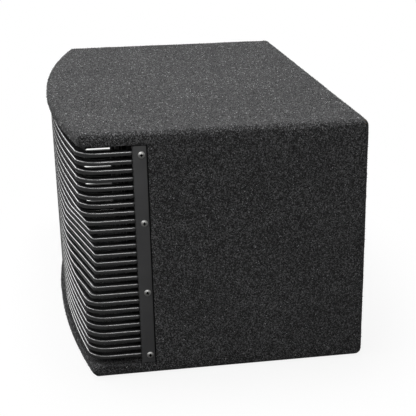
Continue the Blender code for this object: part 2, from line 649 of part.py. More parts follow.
def build_basket(woofer, looks):
    outer_cup = BASKET_CUP_RADIUS + BASKET_WALL
    waist = BASKET_SHELF_RADIUS + (FLANGE_SEAT_RADIUS - BASKET_SHELF_RADIUS) * 0.68
    waist_depth = BASKET_SHELF_DEPTH * 0.72
    neck = FLANGE_SEAT_RADIUS - 2 * BASKET_WALL
    neck_depth = BASKET_SHELF_DEPTH * 0.3
    profile = [
        (FLANGE_SEAT_RADIUS - BASKET_WALL, FLANGE_FRONT), (BASKET_RADIUS, FLANGE_FRONT),
        (BASKET_RADIUS, FLANGE_REAR), (FLANGE_SEAT_RADIUS, FLANGE_REAR),
        (neck + BASKET_WALL, neck_depth), (waist + BASKET_WALL, waist_depth + BASKET_WALL),
        (BASKET_SHELF_RADIUS + BASKET_WALL, BASKET_SHELF_DEPTH + BASKET_WALL),
        (outer_cup, BASKET_SHELF_DEPTH + BASKET_WALL), (outer_cup, BASKET_DEPTH),
        (BASKET_THROAT_RADIUS, BASKET_DEPTH), (BASKET_THROAT_RADIUS, BASKET_DEPTH - BASKET_WALL),
        (BASKET_CUP_RADIUS, BASKET_DEPTH - BASKET_WALL), (BASKET_CUP_RADIUS, BASKET_SHELF_DEPTH),
        (BASKET_SHELF_RADIUS, BASKET_SHELF_DEPTH), (waist, waist_depth), (neck, neck_depth)]
    basket = add_object("woofer_basket", turned(profile), looks["basket"], woofer)
    cut(basket, merge(*(basket_window(index) for index in range(BASKET_SPOKES))))
    hole = WOOFER_SCREW[2] + SEAT_GAP
    cut(basket, merge(*(rod(hole, FLANGE_FRONT - MM, FLANGE_REAR + MM, place)
                        for place in ring_places(WOOFER_SCREW_RADIUS, WOOFER_SCREWS))))
    outer = FLANGE_SEAT_RADIUS + BASKET_WALL + GASKET_WIDTH
    add_object("basket_gasket", turned([
        (outer - GASKET_WIDTH, -SEAT_GAP - GASKET_THICKNESS), (outer, -SEAT_GAP - GASKET_THICKNESS),
        (outer, -SEAT_GAP), (outer - GASKET_WIDTH, -SEAT_GAP)]), looks["foam"], woofer)
    for number, (x, z) in enumerate(ring_places(WOOFER_SCREW_RADIUS, WOOFER_SCREWS), 1):
        add_object(f"woofer_screw_{number}", screw_form(WOOFER_SCREW), looks["screw"], woofer,
                   (x, FLANGE_FRONT - SEAT_GAP, z))
    wide, tall, thick = TERMINAL_SIZE
    low = -(outer_cup + SEAT_GAP + thick)
    middle = (BASKET_SHELF_DEPTH + BASKET_WALL + BASKET_DEPTH) / 2
    add_object("speaker_terminal", block((-wide / 2, middle - tall / 2, low),
                                         (wide / 2, middle + tall / 2, low + thick)),
               looks["terminal"], woofer)


def basket_window(index):
    """The gap between two spokes of the basket, as a wedge along the axis."""
    half = math.pi / BASKET_SPOKES
    inner = BASKET_SHELF_RADIUS + BASKET_WALL
    outer = BASKET_RADIUS
    trim = SPOKE_WIDTH / 2
    inner_half = half - math.asin(trim / inner)
    outer_half = half - math.asin(trim / outer)
    ring = arc((0, 0), inner, -inner_half, inner_half, 3) + arc((0, 0), outer, outer_half, -outer_half, 3)
    form = plan_prism(ring, WINDOW_REAR_ROOM - BASKET_SHELF_DEPTH, -WINDOW_FRONT_DEPTH)
    turn = Matrix.Rotation(math.pi / 2, 3, 'X') @ Matrix.Rotation((2 * index + 1) * half, 3, 'Z')
    bmesh.ops.rotate(form, cent=(0, 0, 0), matrix=turn, verts=form.verts)
    return form


def roll(radius, steps):
    """The half-round of the surround, from its outer edge to its inner one."""
    return [(x, RIM_REAR - y) for x, y in arc((ROLL_CENTRE_RADIUS, 0), radius, 0, math.pi, steps)]


def build_moving_parts(woofer, looks):
    rim_outer = FLANGE_SEAT_RADIUS
    rim_inner = CONE_RIM_RADIUS + SEAT_GAP
    under = ROLL_RADIUS - SURROUND_THICKNESS
    lift = math.asin(SURROUND_THICKNESS / ROLL_RADIUS)
    front = [(x, RIM_REAR - y) for x, y in
             arc((ROLL_CENTRE_RADIUS, 0), ROLL_RADIUS, lift, math.pi - lift, ROLL_STEPS)]
    add_object("surround", turned(
        [(rim_inner, RIM_REAR), (rim_inner, RIM_FRONT)] + front[::-1]
        + [(rim_outer, RIM_FRONT), (rim_outer, RIM_REAR)] + roll(under, ROLL_STEPS)),
        looks["surround"], woofer)
    trim_rear = RIM_FRONT - SEAT_GAP
    trim_inner = ROLL_CENTRE_RADIUS + ROLL_RADIUS + SEAT_GAP
    trim_outer = trim_inner + TRIM_WIDTH
    add_object("trim_ring", turned([
        (trim_inner, trim_rear), (trim_inner, trim_rear - TRIM_THICKNESS),
        (trim_outer, trim_rear - TRIM_THICKNESS), (trim_outer, RIM_REAR),
        (rim_outer + SEAT_GAP, RIM_REAR), (rim_outer + SEAT_GAP, trim_rear)]), looks["trim"], woofer)
    side = [cone_point(index / CONE_STEPS) for index in range(CONE_STEPS + 1)]
    neck_outer = FORMER_RADIUS + SEAT_GAP + CONE_THICKNESS
    collar_end = CONE_NECK_DEPTH + CONE_COLLAR
    add_object("cone", turned(
        [(CONE_EDGE_RADIUS, FLANGE_FRONT)] + side
        + [(FORMER_RADIUS + SEAT_GAP, collar_end), (neck_outer, collar_end)]
        + [(radius, depth + CONE_THICKNESS) for radius, depth in side[-2::-1]]
        + [(CONE_EDGE_RADIUS, FLANGE_FRONT + CONE_THICKNESS)]), looks["cone"], woofer)
    add_object("dust_cap", dust_cap_form(), looks["dust_cap"], woofer)
    inner = FORMER_RADIUS - FORMER_WALL
    outer = FORMER_RADIUS + WINDING_THICKNESS
    start = WINDING_DEPTH - WINDING_LENGTH / 2
    end = WINDING_DEPTH + WINDING_LENGTH / 2
    front_end = CONE_NECK_DEPTH - FORMER_STAND
    add_object("voice_coil", turned([
        (inner, front_end), (FORMER_RADIUS, front_end), (FORMER_RADIUS, start),
        (outer, start), (outer, end), (inner, end)], FINE_TURN_STEPS), looks["coil"], woofer)
    add_object("spider", spider_form(), looks["spider"], woofer)


def cone_point(share):
    """A point of the cone's front face, from its rim (share 0) to its neck (share 1)."""
    radius = CONE_RIM_RADIUS + (FORMER_RADIUS + SEAT_GAP - CONE_RIM_RADIUS) * share
    depth = FLANGE_FRONT + (CONE_NECK_DEPTH - FLANGE_FRONT) * share
    return radius, depth - CONE_SWELL * math.sin(math.pi * share)


def cone_depth(wanted):
    """Depth of the cone's front face, which is straight between its steps, at a radius."""
    points = [cone_point(index / CONE_STEPS) for index in range(CONE_STEPS + 1)]
    for (wide, front), (narrow, back) in zip(points, points[1:]):
        if narrow <= wanted <= wide:
            return front + (back - front) * (wide - wanted) / (wide - narrow)
    raise ValueError("no cone at this radius")


def dust_cap_form():
    """A thin dome that sits on the cone over the voice coil."""
    rim = DUST_CAP_RADIUS
    inner_rim = rim - DUST_CAP_THICKNESS
    outer_depth = cone_depth(rim) - 2 * SEAT_GAP
    inner_depth = cone_depth(inner_rim) - 2 * SEAT_GAP
    outer = [(rim * math.sin(angle), outer_depth - DUST_CAP_RISE * math.cos(angle))
             for angle in quarter_angles()]
    inner_rise = DUST_CAP_RISE + inner_depth - outer_depth - DUST_CAP_THICKNESS
    inner = [(inner_rim * math.sin(angle), inner_depth - inner_rise * math.cos(angle))
             for angle in quarter_angles()]
    return turned(outer + inner[::-1], FINE_TURN_STEPS)


def quarter_angles():
    return [math.pi / 2 * index / DUST_CAP_STEPS for index in range(DUST_CAP_STEPS + 1)]


def spider_form():
    """The corrugated disc that centres the coil, glued to the basket's shelf and the former."""
    seat = BASKET_SHELF_DEPTH - SEAT_GAP
    outer = BASKET_SHELF_RADIUS - SEAT_GAP
    edge = BASKET_CUP_RADIUS - SPIDER_WAVE
    inner = FORMER_RADIUS + SEAT_GAP
    bends = 2 * SPIDER_WAVES
    rear = [(outer, seat), (edge, seat)]
    for index in range(1, bends):
        wave = SPIDER_WAVE if index % 2 else -SPIDER_WAVE
        rear.append((edge + (inner - edge) * index / bends, seat - wave))
    rear.append((inner, seat))
    front = [(radius, depth - SPIDER_THICKNESS) for radius, depth in rear]
    return turned(front + rear[::-1], FINE_TURN_STEPS)


def build_motor(woofer, looks):
    gap_radius = FORMER_RADIUS + WINDING_THICKNESS + COIL_CLEARANCE
    add_object("front_plate", turned([
        (gap_radius, FRONT_PLATE_DEPTH), (FRONT_PLATE_RADIUS, FRONT_PLATE_DEPTH),
        (FRONT_PLATE_RADIUS, FRONT_PLATE_DEPTH + FRONT_PLATE_THICKNESS),
        (gap_radius, FRONT_PLATE_DEPTH + FRONT_PLATE_THICKNESS)]), looks["steel"], woofer)
    add_object("magnet_ring", turned([
        (MAGNET_HOLE_RADIUS, MAGNET_DEPTH), (MAGNET_RADIUS, MAGNET_DEPTH),
        (MAGNET_RADIUS, MAGNET_DEPTH + MAGNET_THICKNESS),
        (MAGNET_HOLE_RADIUS, MAGNET_DEPTH + MAGNET_THICKNESS)]), looks["ferrite"], woofer)
    pole = FORMER_RADIUS - FORMER_WALL - COIL_CLEARANCE
    add_object("yoke", turned([
        (VENT_RADIUS, FRONT_PLATE_DEPTH), (pole, FRONT_PLATE_DEPTH), (pole, YOKE_DEPTH),
        (FRONT_PLATE_RADIUS, YOKE_DEPTH), (FRONT_PLATE_RADIUS, YOKE_DEPTH + YOKE_THICKNESS),
        (VENT_RADIUS, YOKE_DEPTH + YOKE_THICKNESS)]), looks["steel"], woofer)


def plate_screw_places():
    half_x = PLATE_SIZE[0] / 2 - PLATE_RIM / 2
    half_z = PLATE_SIZE[1] / 2 - PLATE_RIM / 2
    return [(x, z) for z in (half_z, -half_z) for x in (-half_x, 0, half_x)]


def flat_block(middle, size, low, high):
    """A block on the plate: its middle and size across and up, from one height to another."""
    half_x, half_z = size[0] / 2, size[1] / 2
    return block((middle[0] - half_x, low, middle[1] - half_z),
                 (middle[0] + half_x, high, middle[1] + half_z))


def on_plate(place, row):
    """A place (x, z) from the plate's left end and the row above its middle."""
    return PLATE_LEFT + place, row


def widened(size, gap):
    return size[0] + 2 * gap, size[1] + 2 * gap


def phase_slot():
    return PHASE_STEM[0] + PHASE_TRAVEL + 2 * SLOT_GAP, PHASE_STEM[1] + 2 * SLOT_GAP


def fuse_neck():
    return widened(FUSE_SIZE, SEAT_GAP + FUSE_HOLDER_WALL)


def jack_places():
    return [on_plate(JACK_PLACE + sign * JACK_PITCH / 2, LOWER_ROW) for sign in (-1, 1)]


def build_plate(amp, looks):
    """The amplifier's aluminium plate: cooling fins, board pillars and holes for its fittings."""
    form = flat_block((0, 0), PLATE_SIZE, -PLATE_THICKNESS, 0)

    def corner(first, second):
        return near(first.x, second.x) and near(first.z, second.z)

    plate = add_object("amp_plate", soften(form, corner, PLATE_CORNER_RADIUS), looks["plate"], amp)
    fin = (FIN_THICKNESS, PLATE_SIZE[1] - 2 * FIN_EDGE_ROOM)
    fins = [flat_block(on_plate(FIN_FIRST + FIN_PITCH * index, 0), fin, -FUSION, FIN_HEIGHT)
            for index in range(FIN_COUNT)]
    wide, tall = (size / 2 - STANDOFF_INSET for size in CIRCUIT_BOARD_SIZE)
    pillars = [rod(STANDOFF_RADIUS, COMPONENT_REAR, FUSION - PLATE_THICKNESS, (x, z))
               for x in (-wide, wide) for z in (-tall, tall)]
    unite(plate, merge(*fins, *pillars))
    through = (-2 * PLATE_THICKNESS, PLATE_THICKNESS)
    holes = [rod(PLATE_SCREW[2] + SEAT_GAP, *through, place) for place in plate_screw_places()]
    holes += [rod(POT_BUSH_RADIUS + SEAT_GAP, *through, on_plate(place, UPPER_ROW), 16)
              for place in KNOB_PLACES.values()]
    holes += [rod(JACK_RADIUS + SLOT_GAP, *through, place, 16) for place in jack_places()]
    holes.append(rod(LAMP_RADIUS + SLOT_GAP, *through, on_plate(LAMP_PLACE, UPPER_ROW)))
    holes.append(flat_block(on_plate(PHASE_PLACE, UPPER_ROW), phase_slot(), *through))
    holes.append(flat_block(on_plate(BLOCK_PLACE, LOWER_ROW), widened(BLOCK_NECK, SLOT_GAP), *through))
    holes.append(flat_block(on_plate(FUSE_PLACE, LOWER_ROW), widened(fuse_neck(), SLOT_GAP), *through))
    cut(plate, merge(*holes))
    for number, (x, z) in enumerate(plate_screw_places(), 1):
        form = screw_form(PLATE_SCREW)
        bmesh.ops.rotate(form, cent=(0, 0, 0), matrix=Matrix.Rotation(math.pi, 3, 'Z'), verts=form.verts)
        add_object(f"plate_screw_{number}", form, looks["screw"], amp, (x, SEAT_GAP, z))


def build_circuit(amp, looks):
    add_object("circuit_board", flat_block((0, 0), CIRCUIT_BOARD_SIZE, CIRCUIT_BOARD_REAR,
                                           CIRCUIT_BOARD_FRONT), looks["circuit"], amp)
    seat = CIRCUIT_BOARD_REAR - SEAT_GAP
    hole, outer = TRANSFORMER_RADII
    middle = CIRCUIT_BOARD_SIZE[0] / 2 - TRANSFORMER_INSET
    add_object("supply_transformer", turned([
        (hole, seat), (outer, seat), (outer, seat - TRANSFORMER_HEIGHT),
        (hole, seat - TRANSFORMER_HEIGHT)], FINE_TURN_STEPS), looks["winding"], amp,
        (middle, 0, 0))
    for number, z in enumerate((CAPACITOR_ROW, -CAPACITOR_ROW), 1):
        form = rod(CAPACITOR_RADIUS, seat - CAPACITOR_HEIGHT, seat, sides=16)
        add_object(f"filter_capacitor_{number}", form, looks["capacitor"], amp,
                   (middle - CAPACITOR_SPACING, 0, z))


def build_controls(amp, looks):
    for name, place in KNOB_PLACES.items():
        x, z = on_plate(place, UPPER_ROW)
        spindle_end = KNOB_BASE_GAP + KNOB_HEIGHT - KNOB_TOP - SEAT_GAP
        add_object(f"{name}_pot", turned([
            (0, COMPONENT_REAR), (POT_RADIUS, COMPONENT_REAR), (POT_RADIUS, COMPONENT_FRONT),
            (POT_BUSH_RADIUS, COMPONENT_FRONT), (POT_BUSH_RADIUS, SEAT_GAP),
            (POT_SPINDLE_RADIUS, SEAT_GAP), (POT_SPINDLE_RADIUS, spindle_end), (0, spindle_end)], 16),
            looks["pot"], amp, (x, 0, z))
        bore = POT_SPINDLE_RADIUS + SEAT_GAP
        top = KNOB_BASE_GAP + KNOB_HEIGHT
        skirt_top = KNOB_BASE_GAP + KNOB_HEIGHT * 0.2
        knob = add_object(f"{name}_knob", turned([
            (bore, KNOB_BASE_GAP), (KNOB_SKIRT_RADIUS, KNOB_BASE_GAP), (KNOB_SKIRT_RADIUS, skirt_top),
            (KNOB_GRIP_RADIUS, skirt_top + KNOB_SKIRT_RADIUS - KNOB_GRIP_RADIUS),
            (KNOB_TIP_RADIUS, top), (0, top), (0, top - KNOB_TOP), (bore, top - KNOB_TOP)], 20),
            looks["knob"], amp, (x, 0, z))
        cut(knob, block((-KNOB_TOP / 4, top - KNOB_TOP / 2, bore),
                        (KNOB_TOP / 4, top + KNOB_TOP, KNOB_SKIRT_RADIUS)))
    phase_x = on_plate(PHASE_PLACE, UPPER_ROW)[0]
    body = add_object("phase_switch_body", flat_block((0, 0), PHASE_BODY, COMPONENT_REAR, COMPONENT_FRONT),
                      looks["pot"], amp, (phase_x, 0, UPPER_ROW))
    stem_end = (COMPONENT_REAR + COMPONENT_FRONT) / 2
    cut(body, flat_block((0, 0), phase_slot(), stem_end - SEAT_GAP, 0))
    add_object("phase_slider", flat_block((0, 0), PHASE_STEM, stem_end, PHASE_REACH), looks["knob"], amp,
               (phase_x - PHASE_TRAVEL / 2, 0, UPPER_ROW))
    add_object("power_lamp", turned([
        (0, COMPONENT_REAR), (LAMP_RADIUS, COMPONENT_REAR), (LAMP_RADIUS, SEAT_GAP),
        (LAMP_RADIUS * 0.7, LAMP_RADIUS * 0.7), (0, LAMP_RADIUS)], 12),
        looks["lamp"], amp, (on_plate(LAMP_PLACE, 0)[0], 0, UPPER_ROW))


def build_connectors(amp, looks):
    jack = add_object("line_input_jack", flat_block(
        on_plate(JACK_PLACE, LOWER_ROW), (2 * JACK_PITCH, JACK_BODY_HEIGHT), COMPONENT_REAR, COMPONENT_FRONT),
        looks["jack"], amp)
    unite(jack, merge(*(rod(JACK_RADIUS, COMPONENT_FRONT - FUSION, JACK_REACH, place, 16)
                        for place in jack_places())))
    cut(jack, merge(*(rod(JACK_HOLE_RADIUS, 0, JACK_REACH + MM, place) for place in jack_places())))
    block_place = on_plate(BLOCK_PLACE, LOWER_ROW)
    terminals = add_object("power_terminal_block", flat_block(
        block_place, BLOCK_SIZE, SEAT_GAP, BLOCK_REACH), looks["terminal"], amp)
    unite(terminals, flat_block(block_place, BLOCK_NECK, COMPONENT_REAR, SEAT_GAP + FUSION))
    low = LOWER_ROW - BLOCK_SIZE[1] / 2
    wires = []
    for index in range(BLOCK_WAYS):
        x = block_place[0] + (index - (BLOCK_WAYS - 1) / 2) * BLOCK_WAY_PITCH
        wire = rod(BLOCK_WIRE_RADIUS, -MM, BLOCK_SIZE[1] / 2)
        bmesh.ops.rotate(wire, cent=(0, 0, 0), matrix=Matrix.Rotation(math.pi / 2, 3, 'X'), verts=wire.verts)
        bmesh.ops.translate(wire, vec=(x, BLOCK_REACH / 2, low), verts=wire.verts)
        wires.append(wire)
    cut(terminals, merge(*wires))
    place = on_plate(FUSE_PLACE, LOWER_ROW)
    pocket = widened(FUSE_SIZE, SEAT_GAP)
    holder = add_object("fuse_holder", flat_block(
        place, widened(fuse_neck(), FUSE_HOLDER_WALL), COMPONENT_REAR, COMPONENT_FRONT), looks["pot"], amp)
    unite(holder, flat_block(place, fuse_neck(), COMPONENT_FRONT - FUSION, FUSE_HOLDER_LIP))
    bottom = (COMPONENT_REAR + COMPONENT_FRONT) / 2
    cut(holder, flat_block(place, pocket, bottom - SEAT_GAP, FUSE_REACH))
    add_object("fuse", flat_block(place, FUSE_SIZE, bottom, FUSE_REACH), looks["fuse"], amp)


def main():
    clear_scene()
    looks = {
        "board": material("fibreboard", (0.36, 0.25, 0.16), 0.8),
        "baffle": material("black_fibreboard", (0.02, 0.02, 0.02), 0.7),
        "carpet": material("charcoal_carpet", (0.06, 0.06, 0.062), 0.95),
        "grille": material("black_grille_plastic", (0.02, 0.02, 0.021), 0.4),
        "screw": material("black_screw_steel", (0.12, 0.12, 0.12), 0.35, 1.0),
        "basket": material("black_basket_steel", (0.03, 0.03, 0.03), 0.45, 0.0),
        "foam": material("black_foam", (0.03, 0.03, 0.03), 0.9),
        "terminal": material("black_terminal_plastic", (0.02, 0.02, 0.02), 0.5),
        "surround": material("black_rubber", (0.025, 0.025, 0.025), 0.6),
        "trim": material("black_trim_rubber", (0.02, 0.02, 0.02), 0.55),
        "cone": material("black_cone_paper", (0.03, 0.03, 0.03), 0.8),
        "dust_cap": material("black_cap_plastic", (0.02, 0.02, 0.02), 0.35),
        "coil": material("copper_coil", (0.55, 0.26, 0.12), 0.35, 1.0),
        "spider": material("spider_cloth", (0.6, 0.45, 0.2), 0.9),
        "steel": material("zinc_steel", (0.6, 0.6, 0.58), 0.35, 1.0),
        "ferrite": material("ferrite", (0.04, 0.04, 0.045), 0.5),
        "plate": material("black_anodised_aluminium", (0.03, 0.03, 0.032), 0.4, 1.0),
        "circuit": material("green_circuit_board", (0.02, 0.16, 0.06), 0.5),
        "winding": material("enamelled_winding", (0.5, 0.2, 0.06), 0.4),
        "capacitor": material("capacitor_sleeve", (0.02, 0.02, 0.05), 0.4),
        "pot": material("grey_switch_plastic", (0.2, 0.2, 0.2), 0.5),
        "knob": material("black_knob_plastic", (0.025, 0.025, 0.025), 0.45),
        "lamp": material("red_lamp_lens", (0.4, 0.02, 0.02), 0.15),
        "jack": material("nickel_jack", (0.7, 0.68, 0.62), 0.25, 1.0),
        "fuse": material("amber_fuse", (0.7, 0.3, 0.03), 0.2),
    }
    build_cabinet(looks)
    build_carpet(looks)
    build_grille(looks)
    woofer = add_guide("woofer_axis", (0, BAFFLE_Y, MID_Z))
    build_basket(woofer, looks)
    build_moving_parts(woofer, looks)
    build_motor(woofer, looks)
    amp = add_guide("amp_face", (0, REAR_Y + PLATE_PROUD, MID_Z))
    build_plate(amp, looks)
    build_circuit(amp, looks)
    build_controls(amp, looks)
    build_connectors(amp, looks)


main()
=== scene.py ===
import math

import bmesh
import bpy
from mathutils import Matrix, Vector, noise


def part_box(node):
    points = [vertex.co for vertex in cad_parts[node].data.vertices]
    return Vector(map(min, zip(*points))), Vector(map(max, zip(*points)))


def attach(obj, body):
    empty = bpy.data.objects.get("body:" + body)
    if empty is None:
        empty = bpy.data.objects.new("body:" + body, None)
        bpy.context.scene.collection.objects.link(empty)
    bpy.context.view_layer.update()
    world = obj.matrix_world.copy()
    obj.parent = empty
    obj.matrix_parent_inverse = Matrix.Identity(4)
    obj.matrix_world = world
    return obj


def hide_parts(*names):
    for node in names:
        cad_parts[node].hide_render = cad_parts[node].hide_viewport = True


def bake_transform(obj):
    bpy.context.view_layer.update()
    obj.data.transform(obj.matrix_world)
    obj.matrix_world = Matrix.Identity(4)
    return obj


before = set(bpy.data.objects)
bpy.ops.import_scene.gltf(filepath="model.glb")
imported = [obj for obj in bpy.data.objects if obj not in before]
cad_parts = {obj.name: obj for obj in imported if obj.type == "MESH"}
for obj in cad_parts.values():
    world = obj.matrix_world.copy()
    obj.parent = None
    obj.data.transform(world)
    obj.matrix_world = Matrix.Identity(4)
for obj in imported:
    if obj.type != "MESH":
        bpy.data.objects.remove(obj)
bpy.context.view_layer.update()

# The box: five boards of raw fibreboard, 12 mm thick, glued and pinned into a closed chamber. The
# carpet hides their faces, so they carry only the pressed grain of the board.
MM = 0.001


class Wire:
    """A socket in a node tree; arithmetic on wires and numbers adds Math nodes."""

    def __init__(self, graph, socket):
        self.graph = graph
        self.socket = socket

    def math(self, operation, first, second):
        return self.graph.node("ShaderNodeMath", {"operation": operation}, {0: first, 1: second})

    def __add__(self, other):
        return self.math("ADD", self, other)

    def __sub__(self, other):
        return self.math("SUBTRACT", self, other)

    def __rsub__(self, other):
        return self.math("SUBTRACT", other, self)

    def __mul__(self, other):
        return self.math("MULTIPLY", self, other)

    def __truediv__(self, other):
        return self.math("DIVIDE", self, other)

    def __pow__(self, other):
        return self.math("POWER", self, other)

    def __gt__(self, other):
        return self.math("GREATER_THAN", self, other)

    def __lt__(self, other):
        return self.math("LESS_THAN", self, other)

    __radd__ = __add__
    __rmul__ = __mul__


class Graph:
    """A node tree, with one way to add a node: its type, its settings and what its sockets take."""

    def __init__(self, tree):
        self.tree = tree

    def node(self, kind, settings=(), sockets=(), out=0):
        made = self.tree.nodes.new(kind)
        for name, value in dict(settings).items():
            setattr(made, name, value)
        for key, value in dict(sockets).items():
            self.feed(made.inputs[key], value)
        return Wire(self, made.outputs[out])

    def feed(self, socket, value):
        for wire in value if isinstance(value, list) else [value]:
            if isinstance(wire, Wire):
                self.tree.links.new(wire.socket, socket)
            else:
                socket.default_value = wire


class Finish(Graph):
    """A material: a Principled shader with fixed values, fed by patterns on Object coordinates."""

    def __init__(self, name, fixed):
        self.material = bpy.data.materials.new(name)
        self.material.use_nodes = True
        super().__init__(self.material.node_tree)
        self.shader = self.tree.nodes["Principled BSDF"]
        self.place = self.node("ShaderNodeTexCoord", out="Object")
        self.give(fixed)

    def give(self, values):
        for name, value in values.items():
            self.feed(self.shader.inputs[name], value)

    def stretched(self, scale):
        return self.node("ShaderNodeMapping", {}, {"Vector": self.place, "Scale": scale})

    def cloud(self, scale, detail=3.0, place=None):
        """Soft noise from 0 to 1, with a number of lumps to the metre."""
        return self.node("ShaderNodeTexNoise", {}, {
            "Vector": place or self.place, "Scale": scale, "Detail": detail})

    def specks(self, scale, place=None):
        """A random value from 0 to 1 for each cell, with a number of cells to the metre."""
        cells = self.node("ShaderNodeTexVoronoi", {}, {
            "Vector": place or self.place, "Scale": scale}, "Color")
        return self.node("ShaderNodeSeparateColor", {}, {0: cells})

    def ramp(self, value, low, high):
        return self.node("ShaderNodeMapRange", {"interpolation_type": "SMOOTHSTEP"}, {
            "Value": value, "From Min": low, "From Max": high})

    def blend(self, share, first, second):
        """A colour between two others."""
        first, second = (c if isinstance(c, Wire) else (*c, 1.0) for c in (first, second))
        return self.node("ShaderNodeMix", {"data_type": "RGBA"}, {0: share, 6: first, 7: second}, 2)

    def relief(self, height, depth):
        """Sets a height pattern as the surface's bump, with its depth in metres."""
        sockets = {"Height": height, "Distance": depth, "Strength": 1.0}
        self.give({"Normal": self.node("ShaderNodeBump", {}, sockets, "Normal")})


def grained(name, colour, roughness, lumps, depth, fixed=None, spread=0.25):
    """A finish whose colour and gloss wander a little, with a fine grain on its surface."""
    made = Finish(name, fixed or {})
    grain = made.cloud(lumps, 4.0)
    drift = made.cloud(lumps / 25, 2.0)
    low = tuple(c * (1 - spread) for c in colour)
    high = tuple(c * (1 + spread) for c in colour)
    made.give({"Base Color": made.blend(drift * 0.6 + grain * 0.4, low, high),
               "Roughness": (grain - 0.5) * 0.3 + (drift - 0.5) * 0.2 + roughness})
    made.relief(grain, depth)
    return made


def dress(finish, *names):
    """Gives CAD nodes a finish."""
    for name in names:
        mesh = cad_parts[name].data
        mesh.materials.clear()
        mesh.materials.append(finish.material)


BLACK_FRONT = -74.0 * MM       # the boards' front ends are sprayed black together with the baffle
BLACK_REAR = 172.0 * MM        # and so is the rear board's face, round the amplifier's plate
fibreboard = Finish("raw_fibreboard", {"Specular IOR Level": 0.2})
pressed = fibreboard.cloud(900, 4.0, fibreboard.stretched((1.0, 1.0, 6.0)))
along = fibreboard.node("ShaderNodeSeparateXYZ", {}, {0: fibreboard.place}, "Y")
sprayed = (along < BLACK_FRONT) + (along > BLACK_REAR)
raw = fibreboard.blend(pressed, (0.26, 0.17, 0.1), (0.46, 0.33, 0.22))
fibreboard.give({"Base Color": fibreboard.blend(sprayed, raw, (0.006, 0.006, 0.006)),
                 "Roughness": 0.9 - pressed * 0.15})
fibreboard.relief(pressed, 0.15 * MM)
dress(fibreboard, "top_panel", "bottom_panel", "right_side_panel", "left_side_panel", "rear_panel")

# The baffle: the board behind the grille that carries the woofer, rolled with matt black paint so that
# it does not show between the bars.
black_board = grained("black_painted_board", (0.006, 0.006, 0.006), 0.85, 500, 0.12 * MM,
                      {"Specular IOR Level": 0.15})
dress(black_board, "front_baffle")

# The woofer's frame and motor: a pressed steel basket in black paint on a foam gasket, and behind it
# two zinc-plated plates round a ferrite ring, all glued; the flange alone shows through the bars.
black_paint = grained("black_basket_paint", (0.018, 0.018, 0.019), 0.42, 700, 0.03 * MM)
dress(black_paint, "woofer_basket")
foam = grained("black_gasket_foam", (0.022, 0.022, 0.022), 0.95, 1500, 0.2 * MM,
               {"Specular IOR Level": 0.15})
dress(foam, "basket_gasket")
zinc = grained("zinc_plated_steel", (0.58, 0.58, 0.55), 0.36, 1200, 0.01 * MM, {"Metallic": 1.0}, 0.12)
dress(zinc, "front_plate", "yoke")
ferrite = grained("pressed_ferrite", (0.035, 0.035, 0.04), 0.62, 1100, 0.05 * MM)
dress(ferrite, "magnet_ring")
black_terminal = grained("black_terminal_plastic", (0.018, 0.018, 0.018), 0.45, 1600, 0.02 * MM)
dress(black_terminal, "speaker_terminal")

# The moving parts: a pressed paper cone with a doped face, a moulded dust cap and a copper coil wound
# on a paper former, glued together at the cone's neck.
WOOFER_MIDDLE = Vector((0.0, -92.7 * MM, 150.0 * MM))
CONE_EDGE = (92.2 * MM, -5.6 * MM)
CONE_RIM = (86.7 * MM, -5.6 * MM)
CONE_NECK = (26.2 * MM, 36.0 * MM)
CONE_COLLAR = 5.0 * MM
CONE_THICKNESS = 1.2 * MM
CONE_SWELL = 3.0 * MM
CONE_STEPS = 24
CAP_RADIUS = 42.0 * MM
CAP_SEAT = 0.6 * MM
CAP_RISE = 11.0 * MM
CAP_THICKNESS = 1.0 * MM
CAP_STEPS = 14


def turned(profile, steps, start=0.0, sweep=math.tau):
    """Turns a closed profile of (radius, depth) points about the woofer's axis, or part of the way."""
    form = bmesh.new()
    whole = sweep == math.tau
    rings = []
    for index in range(steps if whole else steps + 1):
        angle = start + sweep * index / steps
        rings.append([form.verts.new((radius * math.sin(angle), depth, radius * math.cos(angle)))
                      for radius, depth in profile])
    pairs = list(zip(rings, rings[1:]))
    if whole:
        pairs.append((rings[-1], rings[0]))
    else:
        form.faces.new(rings[0])
        form.faces.new(rings[-1])
    for first, second in pairs:
        for index in range(len(profile)):
            after = (index + 1) % len(profile)
            form.faces.new((first[index], first[after], second[after], second[index]))
    bmesh.ops.remove_doubles(form, verts=form.verts, dist=0.001 * MM)
    bmesh.ops.dissolve_degenerate(form, edges=form.edges, dist=0.0005 * MM)
    return form


def settled(name, form):
    """A form as a mesh in a fixed order; cuts leave it in any order, and random draws follow the order."""
    points = sorted(form.verts, key=lambda vertex: tuple(vertex.co))
    for rank, vertex in enumerate(points):
        vertex.index = rank
    rings = []
    for face in form.faces:
        ring = [vertex.index for vertex in face.verts]
        first = ring.index(min(ring))
        rings.append(ring[first:] + ring[:first])
    mesh = bpy.data.meshes.new(name)
    mesh.from_pydata([tuple(vertex.co) for vertex in points], [], sorted(rings))
    form.free()
    return mesh


def piece(name, form, finish, body, slot, *replaced, place=(0, 0, 0), sharp=40):
    """Makes a bmesh a finished piece that rides on a body and stands for the nodes it replaces."""
    bmesh.ops.translate(form, vec=place, verts=form.verts)
    bmesh.ops.recalc_face_normals(form, faces=form.faces)
    return mesh_piece(name, settled(name, form), finish, body, slot, *replaced, sharp=sharp)


def mesh_piece(name, mesh, finish, body, slot, *replaced, sharp=40):
    mesh.shade_smooth()
    mesh.set_sharp_from_angle(angle=math.radians(sharp))
    if finish:
        mesh.materials.clear()
        mesh.materials.append(finish.material)
    made = bpy.data.objects.new(name, mesh)
    bpy.context.scene.collection.objects.link(made)
    if body:
        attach(made, body)
    if replaced:
        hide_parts(*replaced)
    return made


